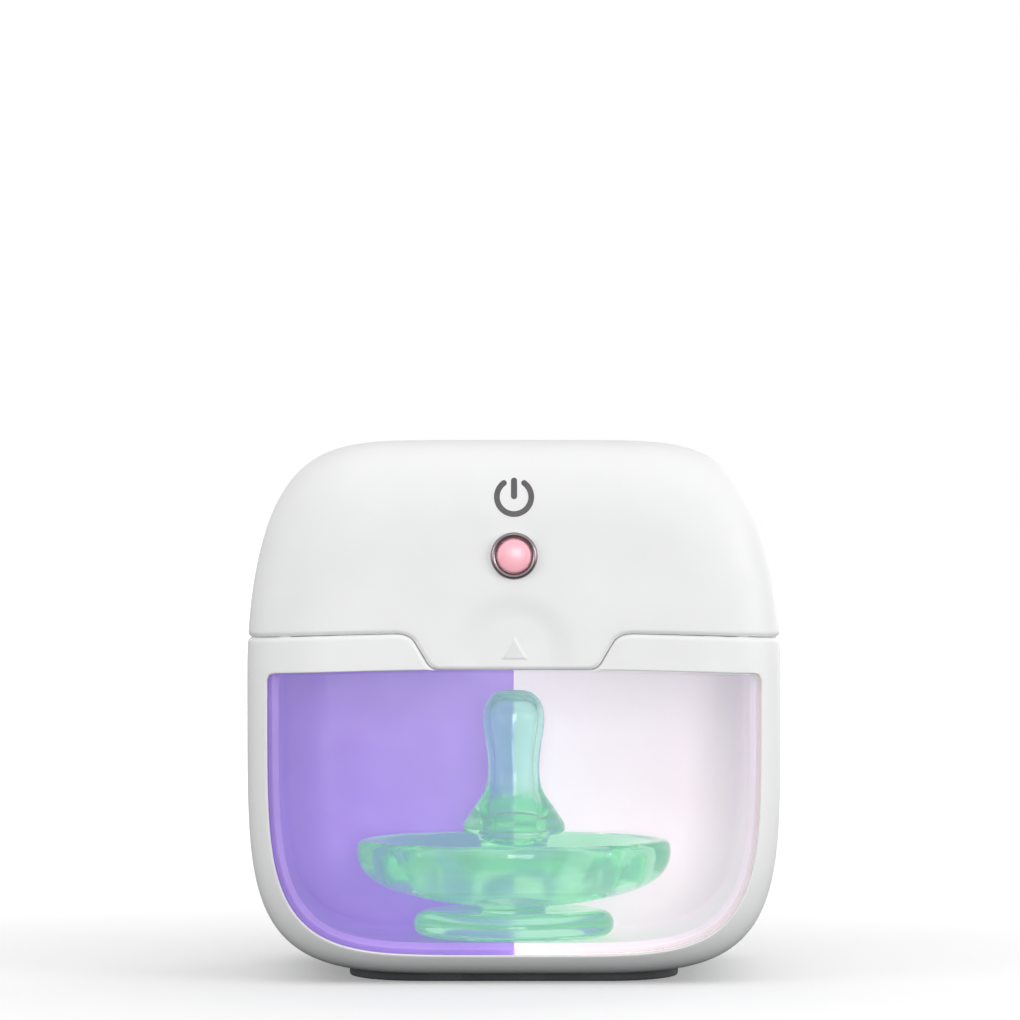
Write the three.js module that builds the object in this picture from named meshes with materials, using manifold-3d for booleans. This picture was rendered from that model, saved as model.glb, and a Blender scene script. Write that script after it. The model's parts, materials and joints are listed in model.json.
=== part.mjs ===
// A small portable UV sterilizer for a pacifier: a rounded-square case with a hinged lid, a front
// tab, a lit push button, a clear front window and a two-tone chamber with a pacifier in it.
// Millimetres, +Z up, the front faces -Y. The origin is under the middle of the whole object.
import * as THREE from "three";
import { mergeVertices } from "three/addons/utils/BufferGeometryUtils.js";
import Module from "manifold-3d";

const wasm = await Module();
wasm.setup();

// Case: overall sizes
const bodyWidth = 80;
const bodyDepth = 56;
const lidTall = 28.8; // from the seam to the top
const footProud = 1.2; // the foot lifts the case by this much
const waistUnderSeam = 6; // the front outline is widest there
const edgeInset = 12; // the rounded edge reaches this far in over the front face
const edgeDepth = 9; // and this far back along the side
const shellWall = 2;
const fitGap = 0.3; // between pieces that meet
const closeGap = 0.15; // round the button's ring
const overrun = 1; // a cut runs past its surface by this much

// Case: powers of the outline curve above and below the waist, and of the rounded edge
const topWidthPower = 6.3;
const topHeightPower = 2.05;
const basePower = 5;
const edgePower = 2.3;
const outlineSteps = 60;
const edgeSteps = 5;
const cornerSteps = 5; // of each arc or curve in a drawn shape

// Seam and tab
const seamHeight = 52.4; // in the middle of the front
const seamDrop = 0.7; // the seam is this much lower at the sides
const seamGap = 0.4;
const tabTopHalf = 17.6; // where the seam starts to curve into the tab
const tabShoulderHalf = 15.4; // corner of that curve
const tabBottomHalf = 12.4;
const tabTall = 5.5;
const tabRound = 1.6;
const tabShoulderDrop = 1.5; // the curve ends this far under the seam
const scoopHalf = 8.5; // thumb scoop on the tab
const scoopDepth = 0.55;
const scoopUnderSeam = 2.4; // its middle
const scoopSteepness = 4; // the scoop's ball is this many times as deep as the scoop
const markWidth = 3; // raised triangle on the tab
const markTall = 2.6;
const markProud = 0.3;
const markRise = 2.5; // over the bottom of the tab

// Window
const windowInset = 3.2; // from the outline of the case
const windowPastNotch = 0.25; // into the tab's notch, so that no sliver of wall is left between them
const windowSeat = 1.1; // the liner's flange shows this much inside the window's edge

// Chamber
const linerWall = 1.2;
const rimTall = 7.5;
const rimAboveSeam = 1.2; // the rim stands up into the lid as a light trap

// Foot
const footInset = 15; // from the side of the case
const footSetBack = 9; // from its front
const footBand = 5;
const footCorner = 11;
const footBevel = 0.4;

// Lid: gasket and inner cover
const gasketThickness = 0.8;
const coverThickness = 2;

// Screws, all alike but for their length
const shankRadius = 0.8;
const headRadius = 1.8;
const headHeight = 0.9;
const screwSides = 12;
const socketSides = 6;
const socketShare = 0.5; // the driver recess, of the head's radius
const socketDepthShare = 0.6; // and of the head's height
const coverScrewLength = 8;
const boardScrewLength = 4;
const coverScrewInset = 11; // from the side of the case
const coverScrewSetBack = 11.5; // from its front
const coverPostRadius = 2.6;

// UV board, with its lamps
const boardThickness = 1.2;
const uvBoardWidth = 36;
const uvBoardDepth = 24;
const uvBoardCorner = 1.6;
const uvBoardRise = 2.8; // over the cover
const boardPostRadius = 2;
const uvPostX = 14;
const uvLedX = 7.5;
const uvLedY = 6.5;
const uvLedSize = 3.5;
const uvLedHeight = 1.3;
const uvHoleRadius = 2.5;
const uvGlassRadius = 3.4;
const uvGlassThickness = 1;

// Hall sensor, which feels the base magnet
const hallFromEdge = 1.2; // from the front edge of the UV board
const hallWidth = 3;
const hallDepth = 1.8;
const hallTall = 1.1;

// Power button in its ring
const buttonRise = 11.5; // of its middle, over the seam
const buttonRadius = 2.5;
const buttonProud = 0.9; // its top stands this far out of the case
const buttonCrown = 0.35;
const buttonTravel = 0.5;
const buttonFlangeRadius = 3.2;
const buttonFlangeThickness = 0.7;
const ringRadius = 3.5;
const ringProud = 0.7;
const ringWall = 0.4;
const ringEdge = 0.2;
const roundSides = 24;

// Main board, tact switch, status lamp
const plungerRadius = 1.5;
const plungerLength = 2.1;
const plungerOutside = 0.9; // of that, in front of the switch
const switchSize = 6;
const switchDepth = 3.5;
const mainBoardWidth = 30;
const mainBoardRise = 2.4; // over the cover
const mainBoardDrop = 3.6; // under the lid's ceiling
const mainPostInset = 4; // from the side of the board
const mainPostDrop = 4.1; // under the top of the board
const statusLedWidth = 1.6;
const statusLedTall = 0.8;
const statusLedDepth = 0.7;
const statusLedRise = 4.6; // over the middle of the button

// Battery on its tray
const batteryWidth = 32;
const batteryDepth = 22;
const batteryTall = 6.4;
const batteryBack = 3; // behind the middle of the case
const batteryCorner = 1.6;
const trayThickness = 1.2;
const trayLip = 1.6;
const trayLipWall = 1;
const trayLegRadius = 1.7;
const trayLegSpread = 8; // half the distance from the front legs to the back ones
const trayRise = 7.4; // over the cover
const trayClear = 1; // from its legs to the UV board
const foamWidth = 24;
const foamDepth = 14;

// USB inlet, its board and the shelf under them
const usbRise = 13.6; // of its middle, over the seam
const usbWidth = 9;
const usbTall = 3.2;
const usbLength = 7.4;
const usbWall = 0.35;
const usbMouthDepth = 5.6;
const usbRound = 1.5;
const usbSunk = 0.2; // its mouth lies this far inside the case
const usbTongueWidth = 6.6;
const usbTongueTall = 0.7;
const usbTongueLength = 4.6;
const chargeBoardWidth = 14;
const chargeBoardDepth = 8;
const chargeBoardThickness = 1;
const shelfThickness = 1.2;
const shelfMargin = 1;

// Ribbon cable between the boards
const ribbonWidth = 8;
const ribbonThickness = 0.5;
const ribbonBend = 2.4;
const ribbonUp = 5; // along the main board
const ribbonAlong = 5; // along the UV board

// Magnets of the catch
const magnetRadius = 2;
const magnetThickness = 0.8;
const magnetUnderSeam = 2.8; // its middle
const magnetFloor = 0.1; // behind the magnet in its pocket
const magnetBossWall = 1.1;

// Hinge
const hingeProud = 0.5; // its axis lies this far behind the case
const knuckleRadius = 1.9;
const hingePinRadius = 0.8;
const hingeWidth = 30;
const lidKnuckleWidth = 12;
const knuckleRoot = 1.5; // the root goes this far up or down the wall past the barrel

// Pacifier
const teatTop = 43;
const teatRadius = 4.7;
const teatWaistRadius = 3.95;
const teatWaistHeight = 29.6;
const teatFlareRadius = 7.8;
const teatFlareHeight = 22.6;
const teatFootRadius = 5.3;
const shieldHalfWidth = 24.2;
const shieldHalfDepth = 18.9;
const shieldTop = 20;
const shieldBottom = 10.3;
const neckRadius = 4.8;
const knobRadius = 15.3;
const knobTop = 9.3;
const knobDepthShare = 0.8; // front to back, of its width
const ventRadius = 2.6;
const ventX = 15;
const pacifierSides = 32;

// The pacifier's profiles, as shares of radius and of height
const teatDomeShares = [
  [0, 1],
  [0.5, 0.87],
  [0.87, 0.5],
  [1, 0],
];
const shieldUnderShares = [
  [0, 0],
  [0.34, 0.02],
  [0.68, 0.14],
  [0.88, 0.36],
  [0.99, 0.66],
];
const shieldOverShares = [
  [1, 0.93],
  [0.97, 1],
  [0.9, 0.98],
  [0.66, 0.72],
  [0.38, 0.55],
  [0, 0.52],
];
const knobShares = [
  [0, 0],
  [0.9, 0],
  [1, 0.22],
  [0.98, 0.68],
  [0.87, 1],
  [0.72, 1],
  [0.62, 0.8],
  [0, 0.8],
];

// Worked out from the sizes above
const halfDepth = bodyDepth / 2;
const bodyTop = seamHeight + lidTall;
const waistHeight = seamHeight - waistUnderSeam;
const tabBottom = seamHeight - tabTall;
const scoopMiddle = seamHeight - scoopUnderSeam;
const markBottom = tabBottom + markRise;
const buttonMiddle = seamHeight + buttonRise;
const usbMiddle = seamHeight + usbRise;
const magnetMiddle = seamHeight - magnetUnderSeam;
const mainPostX = mainBoardWidth / 2 - mainPostInset;
const hingeY = halfDepth + hingeProud;
const originShift = (buttonProud - hingeProud - knuckleRadius) / 2;
const footHalfWidth = bodyWidth / 2 - footInset;
const footHalfDepth = halfDepth - footSetBack;
const coverScrewX = bodyWidth / 2 - coverScrewInset;
const coverScrewY = halfDepth - coverScrewSetBack;
const linerInset = shellWall + fitGap;
const chamberInset = linerInset + linerWall;
const windowTop = tabBottom - seamGap / 2 + windowPastNotch;
const rimTop = seamHeight + rimAboveSeam;
const rimBottom = rimTop - rimTall;
const linerTop = rimBottom - fitGap;
const gasketBottom = rimTop + fitGap;
const coverBottom = gasketBottom + gasketThickness + fitGap;
const coverTop = coverBottom + coverThickness;
const uvBoardBottom = coverTop + uvBoardRise;
const uvBoardTop = uvBoardBottom + boardThickness;
const ringBore = buttonRadius + closeGap;
const ringBarrel = ringBore + ringWall;
const ringBack = -halfDepth + shellWall + closeGap;
const buttonFlangeFront = ringBack + fitGap;
const buttonBack = buttonFlangeFront + buttonFlangeThickness;
const plungerFront = buttonBack + fitGap;
const switchFront = plungerFront + plungerOutside;
const mainBoardFront = switchFront + switchDepth + fitGap;
const mainBoardBack = mainBoardFront + boardThickness;
const mainBoardBottom = coverTop + mainBoardRise;
const trayBottom = coverTop + trayRise;
const trayTop = trayBottom + trayThickness;
const batteryBottom = trayTop + fitGap;
const batteryTop = batteryBottom + batteryTall;
const lidCeiling = bodyTop - shellWall;
const mainBoardTop = lidCeiling - mainBoardDrop;
const mainPostMiddle = mainBoardTop - mainPostDrop;
const usbBack = halfDepth - usbSunk;
const chargeBoardTop = usbMiddle - usbTall / 2 - fitGap;
const shelfTop = chargeBoardTop - chargeBoardThickness - fitGap;
const shelfFront = halfDepth - linerInset - chargeBoardDepth - shelfMargin;
const magnetPocket = magnetThickness + magnetFloor;
const farFront = -halfDepth - overrun;
const edgeBack = -halfDepth + edgeDepth; // behind the front's rounded edge
const farSide = bodyWidth / 2 + overrun;

// Turns a closed geometry into a solid whose faces point out
function solid(geometry) {
  const bare = geometry.clone();
  bare.deleteAttribute("normal");
  bare.deleteAttribute("uv");
  const merged = mergeVertices(bare);
  const vertProperties = merged.attributes.position.array;
  const triVerts = new Uint32Array(merged.index.array);
  const made = new wasm.Manifold(new wasm.Mesh({ numProp: 3, vertProperties, triVerts }));
  if (made.volume() > 0) return made;
  triVerts.reverse();
  return new wasm.Manifold(new wasm.Mesh({ numProp: 3, vertProperties, triVerts }));
}

// Turns a solid back into a geometry
function geometryOf(shape) {
  const mesh = shape.getMesh();
  const geometry = new THREE.BufferGeometry();
  geometry.setAttribute("position", new THREE.BufferAttribute(mesh.vertProperties, mesh.numProp));
  geometry.setIndex(new THREE.BufferAttribute(mesh.triVerts, 1));
  geometry.computeVertexNormals();
  return geometry;
}

function joined(shapes) {
  return shapes.reduce((sum, shape) => sum.add(shape));
}

// A block between two corners
function block(low, high) {
  const size = high.map((value, axis) => value - low[axis]);
  const middle = high.map((value, axis) => (value + low[axis]) / 2);
  return solid(new THREE.BoxGeometry(...size).translate(...middle));
}

// Round bars along each axis, from one place on it to another
function barX(radius, fromX, toX, y, z) {
  const geometry = new THREE.CylinderGeometry(radius, radius, toX - fromX, roundSides);
  return solid(geometry.rotateZ(Math.PI / 2).translate((fromX + toX) / 2, y, z));
}

function barY(radius, fromY, toY, x, z, sides = roundSides) {
  const geometry = new THREE.CylinderGeometry(radius, radius, toY - fromY, sides);
  return solid(geometry.translate(x, (fromY + toY) / 2, z));
}

function barZ(radius, fromZ, toZ, x, y, sides = screwSides) {
  const geometry = new THREE.CylinderGeometry(radius, radius, toZ - fromZ, sides);
  return solid(geometry.rotateX(Math.PI / 2).translate(x, y, (fromZ + toZ) / 2));
}

// A drawn shape with a depth, and a bevel past both of its ends
function extruded(shape, depth, bevel = 0) {
  return new THREE.ExtrudeGeometry(shape, {
    depth,
    curveSegments: cornerSteps,
    bevelEnabled: bevel > 0,
    bevelThickness: bevel,
    bevelSize: bevel,
    bevelOffset: -bevel,
    bevelSegments: 1,
  });
}

// A shape seen from the front, made solid from one y to another
function prism(shape, fromY, toY) {
  const geometry = extruded(shape, toY - fromY);
  return solid(geometry.rotateX(Math.PI / 2).translate(0, toY, 0));
}

// A shape seen from above, made solid from one z to another
function slab(shape, fromZ, toZ, bevel = 0) {
  const geometry = extruded(shape, toZ - fromZ - 2 * bevel, bevel);
  return solid(geometry.translate(0, 0, fromZ + bevel));
}

// A shape of y and z, made solid from one x to another
function stripAlongX(shape, fromX, toX) {
  const geometry = extruded(shape, toX - fromX);
  const turn = new THREE.Matrix4().makeBasis(
    new THREE.Vector3(0, 1, 0),
    new THREE.Vector3(0, 0, 1),
    new THREE.Vector3(1, 0, 0),
  );
  return solid(geometry.applyMatrix4(turn).translate(fromX, 0, 0));
}

// A piece turned about +Z: its profile is radius and height, and meets the axis at both ends
function turned(profile, sides = roundSides) {
  const points = profile.map(([radius, height]) => new THREE.Vector2(radius, height));
  return solid(new THREE.LatheGeometry(points, sides).rotateX(Math.PI / 2));
}

// The same about the button's axis: its profile is radius and y
function turnedInFront(profile) {
  const points = profile.map(([radius, y]) => new THREE.Vector2(radius, y));
  return solid(new THREE.LatheGeometry(points, roundSides).translate(0, 0, buttonMiddle));
}

function roundedRectangle(halfWidth, halfHeight, corner, x = 0, y = 0) {
  const shape = new THREE.Shape();
  const corners = [
    [1, -1],
    [1, 1],
    [-1, 1],
    [-1, -1],
  ];
  corners.forEach(([right, up], quarter) => {
    const start = (quarter - 1) * (Math.PI / 2);
    const centreX = x + right * (halfWidth - corner);
    const centreY = y + up * (halfHeight - corner);
    shape.absarc(centreX, centreY, corner, start, start + Math.PI / 2, false);
  });
  return shape;
}

// The four places of a rectangle about the middle
function fourPlaces(x, y) {
  return [
    [-x, -y],
    [x, -y],
    [x, y],
    [-x, y],
  ];
}

// A point of the case's front outline, drawn in by an inset
function outlinePoint(turn, inset) {
  const across = Math.cos(turn);
  const up = Math.sin(turn);
  const above = up > 0;
  const widthPower = above ? topWidthPower : basePower;
  const heightPower = above ? topHeightPower : basePower;
  const reach = above ? bodyTop - waistHeight : waistHeight - footProud;
  const x = Math.sign(across) * (bodyWidth / 2 - inset) * Math.abs(across) ** (2 / widthPower);
  const z = Math.sign(up) * (reach - inset) * Math.abs(up) ** (2 / heightPower);
  return [x, waistHeight + z];
}

function outlineTurns() {
  return Array.from({ length: outlineSteps }, (_, step) => (2 * Math.PI * step) / outlineSteps);
}

function outlineShape(inset) {
  return new THREE.Shape(outlineTurns().map((turn) => new THREE.Vector2(...outlinePoint(turn, inset))));
}

// The rounded edge from the front face to the side: how far in and how far back, step by step
function edgeStations(inset) {
  return Array.from({ length: edgeSteps + 1 }, (_, step) => {
    const turn = (Math.PI / 2) * (step / edgeSteps);
    const drawnIn = (edgeInset - inset) * (1 - Math.sin(turn) ** (2 / edgePower));
    const back = (edgeDepth - inset) * (1 - Math.cos(turn) ** (2 / edgePower));
    return [inset + drawnIn, inset + back];
  });
}

// The rounded case as a solid, all its surfaces moved in by an inset
function pillow(inset) {
  const front = edgeStations(inset).map(([drawnIn, back]) => [drawnIn, back - halfDepth]);
  const rear = front.map(([drawnIn, y]) => [drawnIn, -y]).reverse();
  const stations = [...front, ...rear];
  const positions = [];
  for (const [drawnIn, y] of stations) {
    for (const turn of outlineTurns()) {
      const [x, z] = outlinePoint(turn, drawnIn);
      positions.push(x, y, z);
    }
  }
  const frontMiddle = positions.length / 3;
  positions.push(0, inset - halfDepth, waistHeight);
  const rearMiddle = positions.length / 3;
  positions.push(0, halfDepth - inset, waistHeight);
  const lastRing = (stations.length - 1) * outlineSteps;
  const faces = [];
  for (let step = 0; step < outlineSteps; step += 1) {
    const next = (step + 1) % outlineSteps;
    faces.push(frontMiddle, step, next);
    faces.push(rearMiddle, lastRing + next, lastRing + step);
    for (let ring = 0; ring < lastRing; ring += outlineSteps) {
      const above = ring + outlineSteps;
      faces.push(ring + step, above + step, above + next);
      faces.push(ring + step, above + next, ring + next);
    }
  }
  const geometry = new THREE.BufferGeometry();
  geometry.setAttribute("position", new THREE.Float32BufferAttribute(positions, 3));
  geometry.setIndex(faces);
  return solid(geometry);
}

// The part of a solid between two heights
function between(shape, fromZ, toZ) {
  const low = [-farSide, -halfDepth - overrun, fromZ];
  const high = [farSide, halfDepth + overrun, toZ];
  return shape.intersect(block(low, high));
}

// All that lies under the seam, lowered by a shift
function underSeam(shift, toY = halfDepth + overrun) {
  const seam = seamHeight - shift;
  const shape = new THREE.Shape();
  shape.moveTo(-farSide, -overrun);
  shape.lineTo(farSide, -overrun);
  shape.lineTo(farSide, seam - seamDrop);
  shape.quadraticCurveTo(tabTopHalf, seam, tabBottomHalf, seam);
  shape.lineTo(-tabBottomHalf, seam);
  shape.quadraticCurveTo(-tabTopHalf, seam, -farSide, seam - seamDrop);
  return prism(shape, farFront, toY);
}

// The tab through the front wall, made larger all round by an outset
function tabBlock(outset) {
  const top = seamHeight + overrun;
  const seam = seamHeight - outset;
  const shoulder = seam - tabShoulderDrop;
  const bottom = tabBottom - outset;
  const shape = new THREE.Shape();
  shape.moveTo(-tabTopHalf - outset, top);
  for (const side of [-1, 1]) {
    const wide = side * (tabTopHalf + outset);
    const corner = side * (tabShoulderHalf + outset);
    const flank = side * (tabShoulderHalf - tabRound / 2 + outset);
    const low = side * (tabBottomHalf + tabRound / 2 + outset);
    const foot = side * (tabBottomHalf + outset);
    const flat = side * (tabBottomHalf - tabRound + outset);
    if (side < 0) {
      shape.lineTo(wide, seam);
      shape.quadraticCurveTo(corner, seam, flank, shoulder);
      shape.lineTo(low, bottom + tabRound);
      shape.quadraticCurveTo(foot, bottom, flat, bottom);
    } else {
      shape.lineTo(flat, bottom);
      shape.quadraticCurveTo(foot, bottom, low, bottom + tabRound);
      shape.lineTo(flank, shoulder);
      shape.quadraticCurveTo(corner, seam, wide, seam);
    }
  }
  shape.lineTo(tabTopHalf + outset, top);
  return prism(shape, farFront, edgeBack);
}

// The window through the front wall, drawn in all round by an inset
function windowBlock(inset) {
  const whole = prism(outlineShape(windowInset + inset), farFront, edgeBack);
  return whole.intersect(underSeam(seamHeight - windowTop + inset, edgeBack));
}

const outer = pillow(0);
const shell = outer.subtract(pillow(shellWall));
const tub = pillow(linerInset).subtract(pillow(chamberInset));

// Hinge. The lid has one barrel in the middle, and the base one on each side of it
const lidBarrels = [[-lidKnuckleWidth / 2, lidKnuckleWidth / 2]];
const baseBarrels = [
  [-hingeWidth / 2, -lidKnuckleWidth / 2 - fitGap],
  [lidKnuckleWidth / 2 + fitGap, hingeWidth / 2],
];

// A barrel with a root in the wall, upwards for the lid and downwards for the base
function knuckle([fromX, toX], up) {
  const rootEnd = seamHeight + up * (knuckleRadius + knuckleRoot);
  const root = block(
    [fromX, halfDepth - shellWall, Math.min(seamHeight, rootEnd)],
    [toX, hingeY, Math.max(seamHeight, rootEnd)],
  );
  return barX(knuckleRadius, fromX, toX, hingeY, seamHeight).add(root);
}

// The room that a barrel needs to turn in
function knuckleRoom([fromX, toX]) {
  return barX(knuckleRadius + fitGap, fromX - fitGap, toX + fitGap, hingeY, seamHeight);
}

function hingeBore() {
  const end = hingeWidth / 2 + overrun;
  return barX(hingePinRadius + fitGap, -end, end, hingeY, seamHeight);
}

function hingePin() {
  return barX(hingePinRadius, -hingeWidth / 2, hingeWidth / 2, hingeY, seamHeight);
}

// Base
function baseShell() {
  return shell
    .intersect(underSeam(seamGap / 2))
    .subtract(tabBlock(seamGap / 2))
    .subtract(windowBlock(0))
    .subtract(joined(lidBarrels.map(knuckleRoom)))
    .add(joined(baseBarrels.map((barrel) => knuckle(barrel, -1))))
    .subtract(hingeBore());
}

function frontWindow() {
  return shell.intersect(windowBlock(fitGap));
}

// One half of the chamber's liner: side is -1 for the left and 1 for the right
function chamberLiner(side) {
  const near = (side * fitGap) / 2;
  const far = side * farSide;
  const half = block([Math.min(near, far), farFront, 0], [Math.max(near, far), -farFront, linerTop]);
  const opening = prism(outlineShape(windowInset + windowSeat), farFront, edgeBack);
  return tub.subtract(opening).intersect(half);
}

function chamberRim() {
  const front = -halfDepth + linerInset;
  const bossBack = front + linerWall + magnetBossWall;
  const boss = barY(magnetRadius + magnetBossWall, front, bossBack, 0, magnetMiddle);
  const pocket = barY(magnetRadius + fitGap, farFront, front + magnetPocket, 0, magnetMiddle);
  return between(tub, rimBottom, rimTop).add(boss).subtract(pocket);
}

function baseMagnet() {
  const front = -halfDepth + linerInset;
  return barY(magnetRadius, front, front + magnetThickness, 0, magnetMiddle);
}

function foot() {
  const ring = roundedRectangle(footHalfWidth, footHalfDepth, footCorner);
  const hole = roundedRectangle(footHalfWidth - footBand, footHalfDepth - footBand, footCorner - footBand);
  ring.holes.push(hole);
  return slab(ring, 0, waistHeight / 2, footBevel).subtract(pillow(-fitGap));
}

// Lid
function scoop() {
  const ballDepth = scoopDepth * scoopSteepness;
  const outside = ballDepth - scoopDepth;
  const ballHalf = scoopHalf / Math.sqrt(1 - (outside / ballDepth) ** 2);
  const ball = new THREE.SphereGeometry(1, roundSides, roundSides / 2);
  return solid(ball.scale(ballHalf, ballDepth, ballHalf).translate(0, -halfDepth - outside, scoopMiddle));
}

function tabMark() {
  const shape = new THREE.Shape();
  shape.moveTo(-markWidth / 2, markBottom);
  shape.lineTo(markWidth / 2, markBottom);
  shape.lineTo(0, markBottom + markTall);
  const face = -halfDepth + scoopDepth - markProud;
  return prism(shape, face, face + 2 * markProud);
}

function lidShell() {
  const coverPosts = fourPlaces(coverScrewX, coverScrewY).map(([x, y]) =>
    barZ(coverPostRadius, coverTop + fitGap, bodyTop, x, y).intersect(outer),
  );
  const coverPilots = fourPlaces(coverScrewX, coverScrewY).map(([x, y]) =>
    barZ(shankRadius + fitGap, coverTop, coverBottom + coverScrewLength + overrun, x, y),
  );
  const boardPosts = [-mainPostX, mainPostX].map((x) =>
    barY(boardPostRadius, -halfDepth + shellWall / 2, mainBoardFront - fitGap, x, mainPostMiddle, screwSides),
  );
  const boardPilots = [-mainPostX, mainPostX].map((x) =>
    barY(
      shankRadius + fitGap,
      mainBoardBack - boardScrewLength - fitGap,
      mainBoardFront,
      x,
      mainPostMiddle,
      screwSides,
    ),
  );
  const shelf = block(
    [-chargeBoardWidth / 2 - shelfMargin, shelfFront, shelfTop - shelfThickness],
    [chargeBoardWidth / 2 + shelfMargin, halfDepth - shellWall / 2, shelfTop],
  );
  const usbHole = prism(usbOutline(fitGap), 0, halfDepth + overrun);
  const ringHole = barY(ringBarrel + closeGap, farFront, edgeBack, 0, buttonMiddle);
  const magnetHole = barY(
    magnetRadius + fitGap,
    -halfDepth + shellWall - magnetPocket,
    edgeBack,
    0,
    magnetMiddle,
  );
  return shell
    .subtract(underSeam(-seamGap / 2))
    .add(shell.intersect(tabBlock(-seamGap / 2)))
    .subtract(scoop())
    .add(tabMark())
    .subtract(joined([...baseBarrels.map(knuckleRoom), ringHole, magnetHole]))
    .add(joined([...coverPosts, ...boardPosts, shelf]))
    .add(joined(lidBarrels.map((barrel) => knuckle(barrel, 1))))
    .subtract(joined([...coverPilots, ...boardPilots, usbHole, hingeBore()]));
}

function lidMagnet() {
  const back = -halfDepth + shellWall;
  return barY(magnetRadius, back - magnetThickness, back, 0, magnetMiddle);
}

function lidGasket() {
  return between(tub, gasketBottom, gasketBottom + gasketThickness);
}

function lidInnerCover() {
  const plate = between(pillow(linerInset), coverBottom, coverTop);
  const posts = [-uvPostX, uvPostX].map((x) =>
    barZ(boardPostRadius, coverBottom, uvBoardBottom - fitGap, x, 0),
  );
  const pilots = [-uvPostX, uvPostX].map((x) =>
    barZ(shankRadius + fitGap, uvBoardTop - boardScrewLength - fitGap, uvBoardTop, x, 0),
  );
  const screwHoles = fourPlaces(coverScrewX, coverScrewY).map(([x, y]) =>
    barZ(shankRadius + fitGap, coverBottom - overrun, coverTop + overrun, x, y),
  );
  const sinks = fourPlaces(coverScrewX, coverScrewY).map(([x, y]) =>
    barZ(headRadius + fitGap, coverBottom - overrun, coverBottom + headHeight + fitGap, x, y),
  );
  const lamps = fourPlaces(uvLedX, uvLedY).flatMap(([x, y]) => [
    barZ(uvHoleRadius, coverBottom - overrun, coverTop + overrun, x, y),
    barZ(uvGlassRadius + fitGap, coverTop - uvGlassThickness - fitGap, coverTop + overrun, x, y),
  ]);
  return plate.add(joined(posts)).subtract(joined([...pilots, ...screwHoles, ...sinks, ...lamps]));
}

// A screw that points up +Z from its head, its head's underside at the origin
function screw(length) {
  const head = barZ(headRadius, -headHeight, 0, 0, 0);
  const shank = barZ(shankRadius, -headHeight / 2, length, 0, 0);
  const deep = headHeight * socketDepthShare;
  const socket = barZ(headRadius * socketShare, -headHeight - overrun, deep - headHeight, 0, 0, socketSides);
  return head.add(shank).subtract(socket);
}

// UV board and its lamps
function uvBoard() {
  const outline = roundedRectangle(uvBoardWidth / 2, uvBoardDepth / 2, uvBoardCorner);
  const board = slab(outline, uvBoardBottom, uvBoardTop);
  const holes = [-uvPostX, uvPostX].map((x) =>
    barZ(shankRadius + fitGap, uvBoardBottom - overrun, uvBoardTop + overrun, x, 0),
  );
  return board.subtract(joined(holes));
}

function uvLed([x, y]) {
  const top = uvBoardBottom - fitGap;
  const half = uvLedSize / 2;
  return block([x - half, y - half, top - uvLedHeight], [x + half, y + half, top]);
}

function uvGlass([x, y]) {
  return barZ(uvGlassRadius, coverTop - uvGlassThickness, coverTop, x, y, roundSides);
}

function hallSensor() {
  const front = -uvBoardDepth / 2 + hallFromEdge;
  const top = uvBoardBottom - fitGap;
  return block([-hallWidth / 2, front, top - hallTall], [hallWidth / 2, front + hallDepth, top]);
}

// Button and ring
function buttonRing() {
  const front = -halfDepth - ringProud;
  const seat = -halfDepth - closeGap;
  return turnedInFront([
    [ringBore, front],
    [ringRadius - ringEdge, front],
    [ringRadius, front + ringEdge],
    [ringRadius, seat],
    [ringBarrel, seat],
    [ringBarrel, ringBack],
    [ringBore, ringBack],
    [ringBore, front],
  ]);
}

function powerButton() {
  const front = -halfDepth - buttonProud;
  return turnedInFront([
    [0, front],
    [buttonRadius / 2, front + buttonCrown / 4],
    [buttonRadius - buttonCrown / 2, front + buttonCrown],
    [buttonRadius, front + buttonCrown * 2],
    [buttonRadius, buttonFlangeFront],
    [buttonFlangeRadius, buttonFlangeFront],
    [buttonFlangeRadius, buttonBack],
    [0, buttonBack],
  ]);
}

function switchPlunger() {
  return barY(plungerRadius, plungerFront, plungerFront + plungerLength, 0, buttonMiddle);
}

function tactSwitch() {
  const half = switchSize / 2;
  const body = block(
    [-half, switchFront, buttonMiddle - half],
    [half, switchFront + switchDepth, buttonMiddle + half],
  );
  const bottom = plungerFront + plungerLength + buttonTravel + fitGap;
  return body.subtract(barY(plungerRadius + fitGap, switchFront - overrun, bottom, 0, buttonMiddle));
}

function statusLed() {
  const middle = buttonMiddle + statusLedRise;
  const back = mainBoardFront - fitGap;
  return block(
    [-statusLedWidth / 2, back - statusLedDepth, middle - statusLedTall / 2],
    [statusLedWidth / 2, back, middle + statusLedTall / 2],
  );
}

function mainBoard() {
  const board = block(
    [-mainBoardWidth / 2, mainBoardFront, mainBoardBottom],
    [mainBoardWidth / 2, mainBoardBack, mainBoardTop],
  );
  const holes = [-mainPostX, mainPostX].map((x) =>
    barY(
      shankRadius + fitGap,
      mainBoardFront - overrun,
      mainBoardBack + overrun,
      x,
      mainPostMiddle,
      screwSides,
    ),
  );
  return board.subtract(joined(holes));
}

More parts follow.
